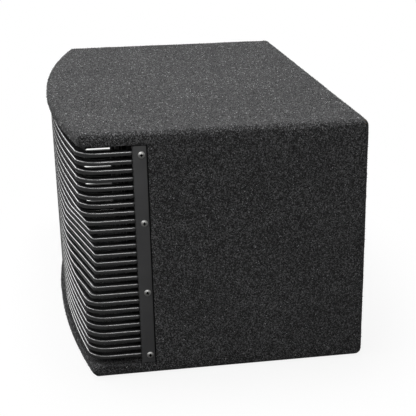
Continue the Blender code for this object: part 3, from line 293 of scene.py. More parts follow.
def cone_point(share):
    """A point of the cone's face, from its rim at share 0 to its neck at share 1."""
    radius = CONE_RIM[0] + (CONE_NECK[0] - CONE_RIM[0]) * share
    depth = CONE_RIM[1] + (CONE_NECK[1] - CONE_RIM[1]) * share
    return radius, depth - CONE_SWELL * math.sin(math.pi * share)


def dome(radius, front, back):
    """Points from the middle of a dome to its rim."""
    angles = [math.pi / 2 * index / CAP_STEPS for index in range(CAP_STEPS + 1)]
    return [(radius * math.sin(angle), back - (back - front) * math.cos(angle)) for angle in angles]


cone_paper = Finish("doped_cone_paper", {"Specular IOR Level": 0.3})
pulp = cone_paper.cloud(350, 6.0)
fibres = cone_paper.cloud(1500, 3.0)
paper = cone_paper.blend(pulp * 0.5 + fibres * 0.5, (0.014, 0.014, 0.014), (0.05, 0.05, 0.05))
cone_paper.give({"Base Color": paper,
                 "Roughness": fibres * 0.25 + 0.6})
cone_paper.relief(fibres * 0.5 + pulp * 0.5, 0.25 * MM)

face = [cone_point(index / CONE_STEPS) for index in range(CONE_STEPS + 1)]
neck_end = CONE_NECK[1] + CONE_COLLAR
profile = ([CONE_EDGE] + face + [(CONE_NECK[0], neck_end), (CONE_NECK[0] + CONE_THICKNESS, neck_end)]
           + [(radius, depth + CONE_THICKNESS) for radius, depth in face[-2::-1]]
           + [(CONE_EDGE[0], CONE_EDGE[1] + CONE_THICKNESS)])
piece("woofer_cone", turned(profile, 96), cone_paper, "cone_assembly", "cone_paper", "cone",
      place=WOOFER_MIDDLE)

cap_plastic = grained("satin_cap_plastic", (0.016, 0.016, 0.017), 0.34, 900, 0.015 * MM)
cap_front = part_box("dust_cap")[0].y - WOOFER_MIDDLE.y
cap_rim = cap_front + CAP_RISE
cap_outer = dome(CAP_RADIUS, cap_front, cap_rim)
cap_inner = dome(CAP_RADIUS - CAP_THICKNESS, cap_front + CAP_THICKNESS, cap_rim + CAP_SEAT)
piece("woofer_dust_cap", turned(cap_outer + cap_inner[::-1], 72), cap_plastic, "cone_assembly", "cap_plastic",
      "dust_cap", place=WOOFER_MIDDLE)

winding = Finish("enamelled_copper_winding", {"Metallic": 0.9, "Roughness": 0.34})
turns = winding.node("ShaderNodeTexWave", {"bands_direction": "Y"}, {
    "Vector": winding.place, "Scale": 420.0, "Distortion": 0.3}, "Fac")
winding.give({"Base Color": winding.blend(turns, (0.2, 0.07, 0.025), (0.62, 0.28, 0.12))})
winding.relief(turns, 0.12 * MM)
dress(winding, "voice_coil")

# The two suspensions that bend as the cone moves: the rubber half-roll round the cone's edge and the
# corrugated, resin-stiffened cloth that centres the coil. Each is pressed hot and glued at both rims.
SECTORS = 12
SECTOR_STEPS = 8
ROLL_MIDDLE = 100.0 * MM
ROLL_RADIUS = 7.5 * MM
ROLL_THICKNESS = 1.2 * MM
ROLL_STEPS = 16
ROLL_FOOT = -5.9 * MM
SURROUND_RIMS = (87.0 * MM, 113.0 * MM)
SPIDER_RIMS = (26.2 * MM, 72.7 * MM)
SPIDER_EDGE = 65.2 * MM
SPIDER_SEAT = 46.7 * MM
SPIDER_WAVE = 1.8 * MM
SPIDER_WAVES = 6
WAVE_STEPS = 8
SPIDER_THICKNESS = 0.8 * MM


def roll_arc(radius, lift):
    angles = [lift + (math.pi - 2 * lift) * index / ROLL_STEPS for index in range(ROLL_STEPS + 1)]
    return [(ROLL_MIDDLE + radius * math.cos(angle), ROLL_FOOT - radius * math.sin(angle))
            for angle in angles]


def suspension(name, profile, finish, slot, node):
    """A ring in sectors, each reaching from the box at its outer rim to the cone at its inner one."""
    for index in range(SECTORS):
        start = math.tau * index / SECTORS
        form = turned(profile, SECTOR_STEPS, start, math.tau / SECTORS)
        made = piece(f"{name}_{index + 1}", form, finish, None, slot, place=WOOFER_MIDDLE)
        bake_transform(made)
        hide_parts(node)


surround_rubber = grained("black_surround_rubber", (0.018, 0.018, 0.018), 0.5, 1300, 0.03 * MM)
rim_front = ROLL_FOOT - ROLL_THICKNESS
roll_front = roll_arc(ROLL_RADIUS, math.asin(ROLL_THICKNESS / ROLL_RADIUS))
roll_back = roll_arc(ROLL_RADIUS - ROLL_THICKNESS, 0.0)
suspension("surround", [(SURROUND_RIMS[0], ROLL_FOOT), (SURROUND_RIMS[0], rim_front)] + roll_front[::-1]
           + [(SURROUND_RIMS[1], rim_front), (SURROUND_RIMS[1], ROLL_FOOT)] + roll_back,
           surround_rubber, "surround_rubber", "surround")

spider_cloth = Finish("resined_spider_cloth", {"Specular IOR Level": 0.25, "Sheen Weight": 0.2})
warp = spider_cloth.node("ShaderNodeTexWave", {"bands_direction": "X"}, {
    "Vector": spider_cloth.place, "Scale": 260.0}, "Fac")
weft = spider_cloth.node("ShaderNodeTexWave", {"bands_direction": "Z"}, {
    "Vector": spider_cloth.place, "Scale": 260.0}, "Fac")
weave = warp * weft
spider_cloth.give({"Base Color": spider_cloth.blend(weave, (0.34, 0.22, 0.08), (0.66, 0.5, 0.24)),
                   "Roughness": 0.9 - weave * 0.15})
spider_cloth.relief(weave, 0.15 * MM)
bends = [(SPIDER_RIMS[1], SPIDER_SEAT), (SPIDER_EDGE, SPIDER_SEAT)]
for step in range(1, WAVE_STEPS * SPIDER_WAVES):
    share = step / (WAVE_STEPS * SPIDER_WAVES)
    wave = SPIDER_WAVE * math.sin(math.pi * share * SPIDER_WAVES)
    bends.append((SPIDER_EDGE + (SPIDER_RIMS[0] - SPIDER_EDGE) * share, SPIDER_SEAT - wave))
bends.append((SPIDER_RIMS[0], SPIDER_SEAT))
spider_front = [(radius, depth - SPIDER_THICKNESS) for radius, depth in bends]
suspension("spider", spider_front + bends[::-1], spider_cloth, "spider_cloth", "spider")

# The trim ring: a moulded rubber gasket glued over the surround's rim, which also hides the edge of
# the basket's seat.
TRIM_RADII = (107.8 * MM, 117.3 * MM)
TRIM_FRONT = -9.0 * MM
TRIM_REAR = -7.4 * MM
TRIM_SKIRT = 113.3 * MM
TRIM_FOOT = -5.9 * MM
TRIM_ROUND = 0.7 * MM
trim_rubber = grained("black_trim_rubber", (0.016, 0.016, 0.016), 0.48, 1000, 0.03 * MM)
inner, outer = TRIM_RADII
piece("woofer_trim_ring", turned([
    (inner, TRIM_REAR), (inner, TRIM_FRONT + TRIM_ROUND),
    (inner + 0.3 * TRIM_ROUND, TRIM_FRONT + 0.3 * TRIM_ROUND),
    (inner + TRIM_ROUND, TRIM_FRONT), (outer - TRIM_ROUND, TRIM_FRONT),
    (outer - 0.3 * TRIM_ROUND, TRIM_FRONT + 0.3 * TRIM_ROUND), (outer, TRIM_FRONT + TRIM_ROUND),
    (outer, TRIM_FOOT), (TRIM_SKIRT, TRIM_FOOT), (TRIM_SKIRT, TRIM_REAR)], 120),
    trim_rubber, "cabinet", "trim_rubber", "trim_ring", place=WOOFER_MIDDLE)

# The woofer's six screws: pan heads with a cross-shaped socket and a coarse thread, in blackened steel,
# driven through the basket's flange into the baffle. The socket's faces are painted near-black as painted
# shade.
WOOFER_SCREW = {"Head Radius": 3.6 * MM, "Head Height": 2.4 * MM, "Recess Reach": 2.1 * MM,
                "Recess Width": 0.9 * MM, "Shank Radius": 1.6 * MM, "Shank Length": 13.5 * MM,
                "Thread Pitch": 1.6 * MM}


class Pattern(Graph):
    """A Geometry Nodes tree with named inputs for its sizes."""

    SOCKETS = {float: "NodeSocketFloat", int: "NodeSocketInt"}

    def __init__(self, name, sizes):
        super().__init__(bpy.data.node_groups.new(name, "GeometryNodeTree"))
        for side in ("INPUT", "OUTPUT"):
            self.tree.interface.new_socket("Geometry", in_out=side, socket_type="NodeSocketGeometry")
        self.keys = {}
        for size, kind in sizes.items():
            made = self.tree.interface.new_socket(size, in_out="INPUT", socket_type=self.SOCKETS[kind])
            self.keys[size] = made.identifier
        self.entry = self.tree.nodes.new("NodeGroupInput")
        self.source = self.size("Geometry")

    def size(self, name):
        return Wire(self, self.entry.outputs[name])

    def vector(self, x=0.0, y=0.0, z=0.0):
        return self.node("ShaderNodeCombineXYZ", {}, {0: x, 1: y, 2: z})

    def attribute(self, name, kind="FLOAT_VECTOR"):
        return self.node("GeometryNodeInputNamedAttribute", {"data_type": kind}, {"Name": name})

    def moved(self, geometry, offset):
        return self.node("GeometryNodeTransform", {}, {"Geometry": geometry, "Translation": offset})

    def joined(self, *parts):
        return self.node("GeometryNodeJoinGeometry", {}, {0: list(parts)})

    def end(self, geometry, finish):
        whole = self.node("GeometryNodeRealizeInstances", {}, {0: geometry})
        coated = self.node("GeometryNodeSetMaterial", {}, {0: whole, "Material": finish.material})
        self.tree.links.new(coated.socket, self.tree.nodes.new("NodeGroupOutput").inputs[0])

    def grow(self, mesh, values):
        """Runs the tree on a mesh with these sizes and gives the result as a plain mesh."""
        holder = bpy.data.objects.new("holder", mesh)
        bpy.context.scene.collection.objects.link(holder)
        step = holder.modifiers.new("Pattern", "NODES")
        step.node_group = self.tree
        for name, value in values.items():
            step[self.keys[name]] = value
        grown = holder.evaluated_get(bpy.context.evaluated_depsgraph_get())
        result = bpy.data.meshes.new_from_object(grown)
        bpy.data.objects.remove(holder)
        return result


def dots(places, axes):
    """A mesh of loose points, each with the direction that a screw there points out in."""
    mesh = bpy.data.meshes.new("dots")
    mesh.from_pydata([tuple(place) for place in places], [], [])
    axis = mesh.attributes.new("axis", "FLOAT_VECTOR", "POINT")
    axis.data.foreach_set("vector", [value for direction in axes for value in direction])
    return mesh


def screw_set(title, names, axes, sizes, seed):
    """Screws in the places of CAD nodes, with their heads at the nodes' outer ends, as one piece."""
    seats = []
    for name, axis in zip(names, axes):
        low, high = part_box(name)
        reach = abs((high - low).dot(Vector(axis))) / 2
        seats.append((low + high) / 2 + Vector(axis) * (reach - sizes["Head Height"]))
    grown = screws.grow(dots(seats, axes), {**sizes, "Seed": seed})
    mesh_piece(title, grown, None, "cabinet", "screw_steel", *names)


def screw_pattern(name, finish):
    """Pan-head screws on points: a domed head with a cross-shaped socket, a shank and its thread; the
    socket's cut faces are marked for painted shade.
    """
    tree = Pattern(name, {"Head Radius": float, "Head Height": float, "Recess Reach": float,
                          "Recess Width": float, "Shank Radius": float, "Shank Length": float,
                          "Thread Pitch": float, "Seed": int})
    radius, height = tree.size("Head Radius"), tree.size("Head Height")
    blank = tree.node("GeometryNodeMeshCylinder", {"fill_type": "TRIANGLE_FAN"}, {
        "Vertices": 28, "Side Segments": 2, "Fill Segments": 6, "Radius": radius, "Depth": height})
    blank = tree.moved(blank, tree.vector(z=height * 0.5))
    place = tree.node("GeometryNodeInputPosition")
    x, y, z = (tree.node("ShaderNodeSeparateXYZ", {}, {0: place}, axis) for axis in range(3))
    share = (x * x + y * y) / (radius * radius)
    crown = tree.node("ShaderNodeMath", {"operation": "SQRT"}, {0: tree.node(
        "ShaderNodeMath", {"operation": "MAXIMUM"}, {0: 1.0 - share, 1: 0.0})})
    domed = tree.node("GeometryNodeSetPosition", {}, {
        "Geometry": blank, "Position": tree.vector(x, y, z * (crown * 0.5 + 0.5))})
    reach, width = tree.size("Recess Reach"), tree.size("Recess Width")
    deep = height * 1.5
    slots = []
    for size in (tree.vector(reach * 2.0, width, deep), tree.vector(width, reach * 2.0, deep)):
        slot = tree.node("GeometryNodeMeshCube", {}, {"Size": size})
        slot = tree.moved(slot, tree.vector(z=height))
        # Marks the faces that the cross cuts, so the finish can paint near-black shade in the socket.
        slots.append(tree.node("GeometryNodeStoreNamedAttribute", {"data_type": "FLOAT", "domain": "FACE"}, {
            "Geometry": slot, "Name": "recess", "Value": 1.0}))
    head = tree.node("GeometryNodeMeshBoolean", {"operation": "DIFFERENCE", "solver": "EXACT"}, {
        "Mesh 1": domed, "Mesh 2": slots})
    length, shank = tree.size("Shank Length"), tree.size("Shank Radius")
    stem = tree.node("GeometryNodeMeshCylinder", {}, {"Vertices": 12, "Radius": shank, "Depth": length})
    stem = tree.moved(stem, tree.vector(z=length * -0.5))
    path = tree.node("GeometryNodeCurveSpiral", {}, {
        "Resolution": 12, "Rotations": length * 0.85 / tree.size("Thread Pitch"), "Start Radius": shank,
        "End Radius": shank, "Height": length * 0.85})
    edge = tree.node("GeometryNodeCurvePrimitiveCircle", {}, {
        "Resolution": 3, "Radius": tree.size("Thread Pitch") * 0.25})
    thread = tree.node("GeometryNodeCurveToMesh", {}, {
        "Curve": path, "Profile Curve": edge, "Fill Caps": True})
    thread = tree.moved(thread, tree.vector(z=length * -1.0))
    spin = tree.node("FunctionNodeRandomValue", {"data_type": "FLOAT"}, {
        "Min": 0.0, "Max": math.tau, "Seed": tree.size("Seed")}, 1)
    aim = tree.node("FunctionNodeAlignRotationToVector", {"axis": "Z"}, {"Vector": tree.attribute("axis")})
    turn = tree.node("FunctionNodeAxisAngleToRotation", {}, {"Axis": (0.0, 0.0, 1.0), "Angle": spin})
    aim = tree.node("FunctionNodeRotateRotation", {"rotation_space": "LOCAL"}, {0: aim, 1: turn})
    placed = tree.node("GeometryNodeInstanceOnPoints", {}, {
        "Points": tree.source, "Instance": tree.joined(head, stem, thread), "Rotation": aim})
    tree.end(placed, finish)
    return tree


black_steel = Finish("blackened_screw_steel", {"Metallic": 1.0})
rub = black_steel.cloud(700, 4.0)
recess = black_steel.node("ShaderNodeAttribute", {"attribute_name": "recess"}, {}, "Fac")
worn = black_steel.blend(rub, (0.5, 0.5, 0.49), (0.74, 0.74, 0.72))
# Near-black in the cross-shaped socket is painted shade, standing for the shadow deep inside it.
black_steel.give({"Base Color": black_steel.blend(recess, worn, (0.004, 0.004, 0.004)),
                  "Roughness": rub * 0.25 + 0.32})
black_steel.relief(rub, 0.015 * MM)
screws = screw_pattern("black_screws", black_steel)
names = [f"woofer_screw_{number}" for number in range(1, 7)]
screw_set("woofer_screws", names, [(0, -1, 0)] * 6, WOOFER_SCREW, 3)

# The carpet: needled charcoal felt, glued over the boards and rolled round their edges and the two
# lips, with its cut edges hidden by the grille's strips, the amplifier's plate and a second sheet below.
HALF_WIDTH = 290.0 * MM
HEIGHT = 300.0 * MM
REAR = 177.0 * MM
FRONT_CORNER = -155.0 * MM
BOW_RISE = 36.0 * MM
BOW_STEPS = 40
LIP = 15.0 * MM
BAY_REAR = -78.9 * MM
BAFFLE_FACE = -93.0 * MM
FELT = 1.2 * MM
EDGE_ROUND = 8.0 * MM
LIP_ROUND = 2.5 * MM
EDGE_STEPS = 5
FELT_GRID = 8.0 * MM
FELT_SWELL = 0.3 * MM
CREASE_REACH = 34.0 * MM       # how far from a lip's corner the folded felt is creased
CREASE_DEPTH = 2.0 * MM
CREASE_CUTS = 3
BASE_SEAM = 2.0 * MM
PLATE_OPENING = (126.0 * MM, 61.0 * MM)
MIDDLE_HEIGHT = HEIGHT / 2
BOW_RADIUS = (HALF_WIDTH ** 2 + BOW_RISE ** 2) / (2 * BOW_RISE)
BOW_MIDDLE = FRONT_CORNER - BOW_RISE + BOW_RADIUS


def near(first, second):
    return abs(first - second) < 0.05 * MM


def plan(inset):
    """The box seen from above, drawn in on every side."""
    side = HALF_WIDTH - inset
    across = [side * (2 * index / BOW_STEPS - 1) for index in range(BOW_STEPS + 1)]
    front = [(x, BOW_MIDDLE - math.sqrt((BOW_RADIUS - inset) ** 2 - x ** 2)) for x in across]
    return [(side, REAR - inset), (-side, REAR - inset)] + front


def prism(outline, low, high):
    form = bmesh.new()
    below, above = ([form.verts.new((x, y, z)) for x, y in outline] for z in (low, high))
    form.faces.new(below)
    form.faces.new(above)
    for index in range(len(outline)):
        form.faces.new((below[index - 1], below[index], above[index], above[index - 1]))
    bmesh.ops.recalc_face_normals(form, faces=form.faces)
    return form


def slab(low, high):
    form = bmesh.new()
    low, high = Vector(low), Vector(high)
    bmesh.ops.create_cube(form, size=1, matrix=Matrix.Translation((low + high) / 2)
                          @ Matrix.Diagonal((*(high - low), 1)))
    return form


def carved(solid, *cutters):
    """Cuts forms out of another one."""
    objects = []
    for form in (solid, *cutters):
        mesh = bpy.data.meshes.new("carving")
        form.to_mesh(mesh)
        form.free()
        objects.append(bpy.data.objects.new("carving", mesh))
        bpy.context.scene.collection.objects.link(objects[-1])
    for cutter in objects[1:]:
        step = objects[0].modifiers.new("Cut", "BOOLEAN")
        step.operation = "DIFFERENCE"
        step.solver = "EXACT"
        step.object = cutter
    mesh = bpy.data.meshes.new_from_object(
        objects[0].evaluated_get(bpy.context.evaluated_depsgraph_get()))
    result = bmesh.new()
    result.from_mesh(mesh)
    for item in objects:
        bpy.data.objects.remove(item)
    bpy.data.meshes.remove(mesh)
    return result


def felt_surface():
    """The carpet's outer face as an open sheet, in a grid fine enough to swell and dip."""
    bay_form = slab((-2 * HALF_WIDTH, -0.5, LIP), (2 * HALF_WIDTH, BAY_REAR, HEIGHT - LIP))
    form = carved(prism(plan(0), 0, HEIGHT), bay_form)
    bmesh.ops.dissolve_limit(form, angle_limit=math.radians(0.1), verts=form.verts, edges=form.edges)
    corner = FRONT_CORNER + MM

    def outer(edge):
        first, second = (end.co for end in edge.verts)
        if near(first.z, second.z):
            return near(first.z, 0) or near(first.z, HEIGHT)
        upright = near(first.x, second.x) and near(first.y, second.y)
        return upright and near(abs(first.x), HALF_WIDTH) and (near(first.y, REAR) or first.y < corner)

    def lip(edge):
        first, second = (end.co for end in edge.verts)
        inner = any(near(first.z, z) and near(second.z, z) for z in (LIP, HEIGHT - LIP))
        return inner and max(first.y, second.y) < corner + EDGE_ROUND and len(edge.link_faces) == 2 and (
            edge.calc_face_angle() > 1)

    for rounded, radius in ((outer, EDGE_ROUND), (lip, LIP_ROUND)):
        bmesh.ops.bevel(form, geom=[edge for edge in form.edges if rounded(edge)], offset=radius,
                        segments=EDGE_STEPS, profile=0.5, affect='EDGES', clamp_overlap=True)
    bmesh.ops.recalc_face_normals(form, faces=form.faces)
    floor = [face for face in form.faces if all(near(v.co.z, 0) for v in face.verts)]
    bmesh.ops.inset_region(form, faces=floor, thickness=BASE_SEAM)
    bmesh.ops.delete(form, geom=[face for face in floor if face.is_valid], context='FACES')
    cuts = [((x, 0, 0), (1, 0, 0)) for x in (-PLATE_OPENING[0], PLATE_OPENING[0])]
    cuts += [((0, 0, MIDDLE_HEIGHT + z), (0, 0, 1)) for z in (-PLATE_OPENING[1], PLATE_OPENING[1])]
    cuts.append(((0, BAFFLE_FACE, 0), (0, 1, 0)))
    for low, high, axis in ((-HALF_WIDTH, HALF_WIDTH, 0), (FRONT_CORNER - BOW_RISE, REAR, 1), (0, HEIGHT, 2)):
        steps = round((high - low) / FELT_GRID)
        for index in range(1, steps):
            place = [0.0, 0.0, 0.0]
            place[axis] = low + (high - low) * index / steps
            cuts.append((tuple(place), tuple(float(axis == other) for other in range(3))))
    for place, normal in cuts:
        bmesh.ops.bisect_plane(form, geom=list(form.verts) + list(form.edges) + list(form.faces),
                               plane_co=place, plane_no=normal, dist=0.02 * MM)

    def uncovered(face):
        middle = face.calc_center_median()
        bay = LIP - MM < middle.z < HEIGHT - LIP + MM
        back_of_bay = bay and abs(face.normal.y) > 0.9 and near(middle.y, BAY_REAR)
        behind_baffle = bay and abs(face.normal.z) > 0.9 and middle.y > BAFFLE_FACE
        at_plate = (near(middle.y, REAR) and abs(middle.x) < PLATE_OPENING[0]
                    and abs(middle.z - MIDDLE_HEIGHT) < PLATE_OPENING[1])
        return back_of_bay or behind_baffle or at_plate

    bmesh.ops.delete(form, geom=[face for face in form.faces if uncovered(face)], context='FACES')
    form.normal_update()

    def creased(place):
        """1 at the front corners of the lips, where the felt is folded in, fading to 0 along them."""
        at_lip = min(place.z, HEIGHT - place.z) < LIP + MM
        away = math.hypot(HALF_WIDTH - abs(place.x), place.y - FRONT_CORNER) / CREASE_REACH
        return max(0.0, 1.0 - away) if at_lip else 0.0

    bmesh.ops.remove_doubles(form, verts=form.verts, dist=0.05 * MM)
    folded = [face for face in form.faces if all(creased(corner.co) > 0 for corner in face.verts)]
    folded = set(bmesh.ops.triangulate(form, faces=folded)["faces"])
    bmesh.ops.subdivide_edges(form, edges=[edge for edge in form.edges if folded & set(edge.link_faces)],
                              cuts=CREASE_CUTS, use_grid_fill=True)
    form.normal_update()
    for vertex in form.verts:
        if not vertex.is_boundary and vertex.co.z > MM:
            swell = noise.fractal(vertex.co * 45, 0.8, 2.0, 3)
            crease = abs(noise.noise(vertex.co * 170)) - 0.3
            push = FELT_SWELL * (swell - 0.6) + CREASE_DEPTH * crease * creased(vertex.co)
            vertex.co += vertex.normal * push
    return settled("felt_face", form)


felt = Finish("charcoal_felt", {"Specular IOR Level": 0.1, "Sheen Weight": 0.06, "Sheen Roughness": 0.6})
tangle = felt.node("ShaderNodeTexNoise", {}, {"Vector": felt.place, "Scale": 900.0, "Detail": 2.0}, "Color")
tangle = felt.node("ShaderNodeVectorMath", {"operation": "MULTIPLY_ADD"}, {
    0: tangle, 1: (1.6 * MM,) * 3, 2: felt.place})
fibre = felt.specks(1000, tangle)
drift = felt.ramp(felt.cloud(11, 3.0), 0.3, 0.7)
light = fibre ** 3.5 * (0.88 + drift * 0.24)
felt.give({"Base Color": felt.blend(light, (0.022, 0.022, 0.0225), (0.24, 0.24, 0.245)),
           "Roughness": fibre * 0.15 + 0.85})
felt.relief(fibre, 0.7 * MM)

felt_face = felt_surface()
sheet = bmesh.new()
sheet.from_mesh(felt_face)
cover = piece("carpet_wrap", sheet, felt, "cabinet", "charcoal_carpet", "carpet_cover", sharp=60)
wall = cover.modifiers.new("Felt", "SOLIDIFY")
wall.thickness = FELT
wall.offset = -1.0
base = prism(plan(EDGE_ROUND + BASE_SEAM + 0.3 * MM), 0, FELT)
piece("carpet_underside", base, felt, "cabinet", "charcoal_carpet", "carpet_base")

# The nap of the carpet: loose fibres that the needling leaves standing out of the felt at all angles,
# a few of them pale.
NAP = {"Density": 80000.0, "Length": 1.0 * MM, "Thickness": 0.5 * MM, "Seed": 11}


def nap_pattern(finish):
    tree = Pattern("carpet_nap", {size: type(value) for size, value in NAP.items()})
    facing = tree.node("ShaderNodeSeparateXYZ", {}, {0: tree.node("GeometryNodeInputNormal")}, "Z")
    spread = tree.node("GeometryNodeDistributePointsOnFaces", {}, {
        "Mesh": tree.source, "Selection": facing > -0.5, "Density": tree.size("Density"),
        "Seed": tree.size("Seed")})
    upright = Wire(tree, spread.socket.node.outputs["Rotation"])
    fibre = tree.node("GeometryNodeMeshCone", {}, {
        "Vertices": 3, "Radius Top": 0.0, "Radius Bottom": tree.size("Thickness"),
        "Depth": tree.size("Length")})
    lean = tree.node("FunctionNodeRandomValue", {"data_type": "FLOAT_VECTOR"}, {
        "Min": (0.3, -0.5, 0.0), "Max": (1.3, 0.5, 6.28), "Seed": tree.size("Seed")})
    lean = tree.node("FunctionNodeEulerToRotation", {}, {0: lean})
    aim = tree.node("FunctionNodeRotateRotation", {"rotation_space": "LOCAL"}, {0: upright, 1: lean})
    size = tree.node("FunctionNodeRandomValue", {"data_type": "FLOAT"}, {
        "Min": 0.5, "Max": 1.3, "Seed": tree.size("Seed")}, 1)
    placed = tree.node("GeometryNodeInstanceOnPoints", {}, {
        "Points": spread, "Instance": fibre, "Rotation": aim, "Scale": size})
    tree.end(placed, finish)
    return tree


nap_fibre = Finish("carpet_nap_fibre", {"Specular IOR Level": 0.1, "Roughness": 0.9})
tint = nap_fibre.specks(300)
nap_fibre.give({"Base Color": nap_fibre.blend(tint ** 4.0, (0.016, 0.016, 0.0165), (0.78, 0.78, 0.79))})
nap = nap_pattern(nap_fibre).grow(felt_face, NAP)
mesh_piece("carpet_nap", nap, None, "cabinet", "charcoal_carpet", sharp=60)

# The grille: one black moulding of 26 bars between two screw strips. The bars follow the bow of the
# box, and at mid height they fall back in a scoop at each corner; two ribs tie them from behind.
BAR_ROWS = [275.0 * MM - 10.0 * MM * row for row in range(26)]
BAR_SIDE = 286.5 * MM
BAR_FRONT = -186.8 * MM
BAR_RISE = 30.8 * MM
BAR_SECTION = {"Bar Height": 5.8 * MM, "Bar Depth": 10.0 * MM, "Nose Round": 2.8 * MM,
               "Back Round": 0.4 * MM}
BAR_CORNER = 24.0 * MM
SCOOP_CORNER = 4.0 * MM
CORNER_FADE = 6.0 * MM         # depth of scoop over which the corner tightens
INNER_CORNER = 1.5 * MM
CORNER_STEPS = 8
BAR_STEPS = 12
STRAIGHT_STEPS = 3
SCOOP_DEPTH = 11.3 * MM
SCOOP_SLOPE = 0.265
SCOOP_RADIUS = 155.0 * MM
STRIP_FRONT = -96.0 * MM
STRIP_REAR = -80.5 * MM
STRIP_ENDS = (16.0 * MM, 284.0 * MM)
STRIP_THICKNESS = 3.0 * MM
WEB_THICKNESS = 3.0 * MM
STRIP_CORNER = 2.4 * MM
STRIP_ROUND = 0.7 * MM
RIB_PLACES = (90.0 * MM, -90.0 * MM)
RIB_SIZE = (2.4 * MM, 7.0 * MM, 126.0 * MM)
BAR_BOW = (BAR_SIDE ** 2 + BAR_RISE ** 2) / (2 * BAR_RISE)
BAR_MIDDLE = BAR_FRONT + BAR_BOW


def bar_front(x, inset):
    return BAR_MIDDLE - math.sqrt((BAR_BOW - inset) ** 2 - x ** 2)


def bar_corner(corner, radius, turn):
    """The arc by which a bar turns from the side of the box to its front."""
    middle = (corner[0] - radius, corner[1] + radius * math.tan(turn / 2))
    angles = [-turn * index / CORNER_STEPS for index in range(CORNER_STEPS + 1)]
    return [(middle[0] + radius * math.cos(angle), middle[1] + radius * math.sin(angle)) for angle in angles]


def between(first, last):
    """Points that keep a straight stretch of a bar straight when its edges are eased."""
    shares = [(index + 1) / (STRAIGHT_STEPS + 1) for index in range(STRAIGHT_STEPS)]
    return [tuple(a + (b - a) * share for a, b in zip(first, last)) for share in shares]


def bar_line(z, inset):
    """One line of a bar in plan, from the right strip to the left one, drawn in from the bar's nose."""
    side = BAR_SIDE - inset
    bow = BAR_BOW - inset
    fall = SCOOP_DEPTH - (z - MIDDLE_HEIGHT) ** 2 / (2 * SCOOP_RADIUS)
    scoop = bar_front(BAR_SIDE, 0) + fall
    tight = min(max(fall / CORNER_FADE, 0), 1)
    radius = max(BAR_CORNER + (SCOOP_CORNER - BAR_CORNER) * tight - inset, INNER_CORNER)
    if fall > 0:
        scoop += inset * math.hypot(1, SCOOP_SLOPE)
        corner = (side, scoop - SCOOP_SLOPE * inset)
        turn = math.pi / 2 - math.atan(SCOOP_SLOPE)
        drop = scoop - SCOOP_SLOPE * BAR_SIDE - BAR_MIDDLE
        half = SCOOP_SLOPE * drop
        square = 1 + SCOOP_SLOPE ** 2
        start = (-half - math.sqrt(half * half - square * (drop * drop - bow * bow))) / square
    else:
        corner = (side, bar_front(side, inset))
        lean = math.asin(side / bow)
        turn = math.pi / 2 - lean
        start = side - radius * math.tan(turn / 2) * math.cos(lean) * 1.1
    across = [start * (1 - index / BAR_STEPS) for index in range(BAR_STEPS + 1)]
    bend = bar_corner(corner, radius, turn)
    bow_line = [(x, bar_front(x, inset)) for x in across]
    root = (side, STRIP_FRONT - MM)
    half_line = [(side, STRIP_FRONT + WEB_THICKNESS / 2), root] + between(root, bend[0]) + bend
    half_line += between(bend[-1], bow_line[0]) + bow_line
    return half_line + [(-x, y) for x, y in reversed(half_line[:-1])]


def bar_noses():
    """The nose lines of all the bars, each point with the way from the nose to the back of its bar."""
    points, edges, inward = [], [], []
    depth = BAR_SECTION["Bar Depth"]
    for z in BAR_ROWS:
        first = len(points)
        for nose, back in zip(bar_line(z, 0), bar_line(z, depth)):
            points.append((*nose, z))
            inward += [(back[0] - nose[0]) / depth, (back[1] - nose[1]) / depth, 0.0]
        edges += [(index, index + 1) for index in range(first, len(points) - 1)]
    mesh = bpy.data.meshes.new("bar_noses")
    mesh.from_pydata(points, edges, [])
    mesh.attributes.new("inward", "FLOAT_VECTOR", "POINT").data.foreach_set("vector", inward)
    return mesh


def bar_pattern(finish):
    """Bars from nose lines: each is drawn back to its depth, then up to its height, and its edges eased."""
    tree = Pattern("grille_bars", dict.fromkeys(BAR_SECTION, float))
    height, depth, ease, back = (tree.size(name) for name in BAR_SECTION)
    inward = tree.attribute("inward")
    blade, rear = tree.source, None
    for step in (ease, depth - ease - back, back):
        sockets = {"Mesh": blade, "Offset Scale": 0.0}
        if rear:
            sockets["Selection"] = rear
        blade = tree.node("GeometryNodeExtrudeMesh", {"mode": "EDGES"}, sockets)
        rear = Wire(tree, blade.socket.node.outputs["Top"])
        offset = tree.node("ShaderNodeVectorMath", {"operation": "SCALE"}, {0: inward, "Scale": step})
        blade = tree.node("GeometryNodeSetPosition", {}, {
            "Geometry": blade, "Selection": rear, "Offset": offset})
    under = tree.node("GeometryNodeFlipFaces", {}, {0: blade})
    solid, top = blade, None
    for step in (ease, height - ease * 2.0, ease):
        sockets = {"Mesh": solid, "Offset": (0.0, 0.0, 1.0), "Offset Scale": step, "Individual": False}
        if top:
            sockets["Selection"] = top
        solid = tree.node("GeometryNodeExtrudeMesh", {"mode": "FACES"}, sockets)
        top = Wire(tree, solid.socket.node.outputs["Top"])
    closed = tree.node("GeometryNodeMergeByDistance", {}, {
        "Geometry": tree.joined(under, solid), "Distance": 0.01 * MM})
    centred = tree.moved(closed, tree.vector(z=height * -0.5))
    eased = tree.node("GeometryNodeSubdivisionSurface", {}, {"Mesh": centred, "Level": 1})
    tree.end(eased, finish)
    return tree


satin_black = Finish("satin_black_moulding", {"Specular IOR Level": 1.0, "IOR": 1.8})
grain = satin_black.cloud(1500, 3.0)
flow = satin_black.cloud(30, 2.0)
black = satin_black.blend(flow * 0.5 + grain * 0.5, (0.012, 0.012, 0.0125), (0.024, 0.024, 0.025))
satin_black.give({"Base Color": black,
                  "Roughness": (grain - 0.5) * 0.08 + (flow - 0.5) * 0.06 + 0.235})
satin_black.relief(grain, 0.008 * MM)

bars = bmesh.new()
bars.from_mesh(bar_pattern(satin_black).grow(bar_noses(), BAR_SECTION))
piece("grille_bars", bars, satin_black, "cabinet", "black_grille_plastic", "grille", sharp=70)


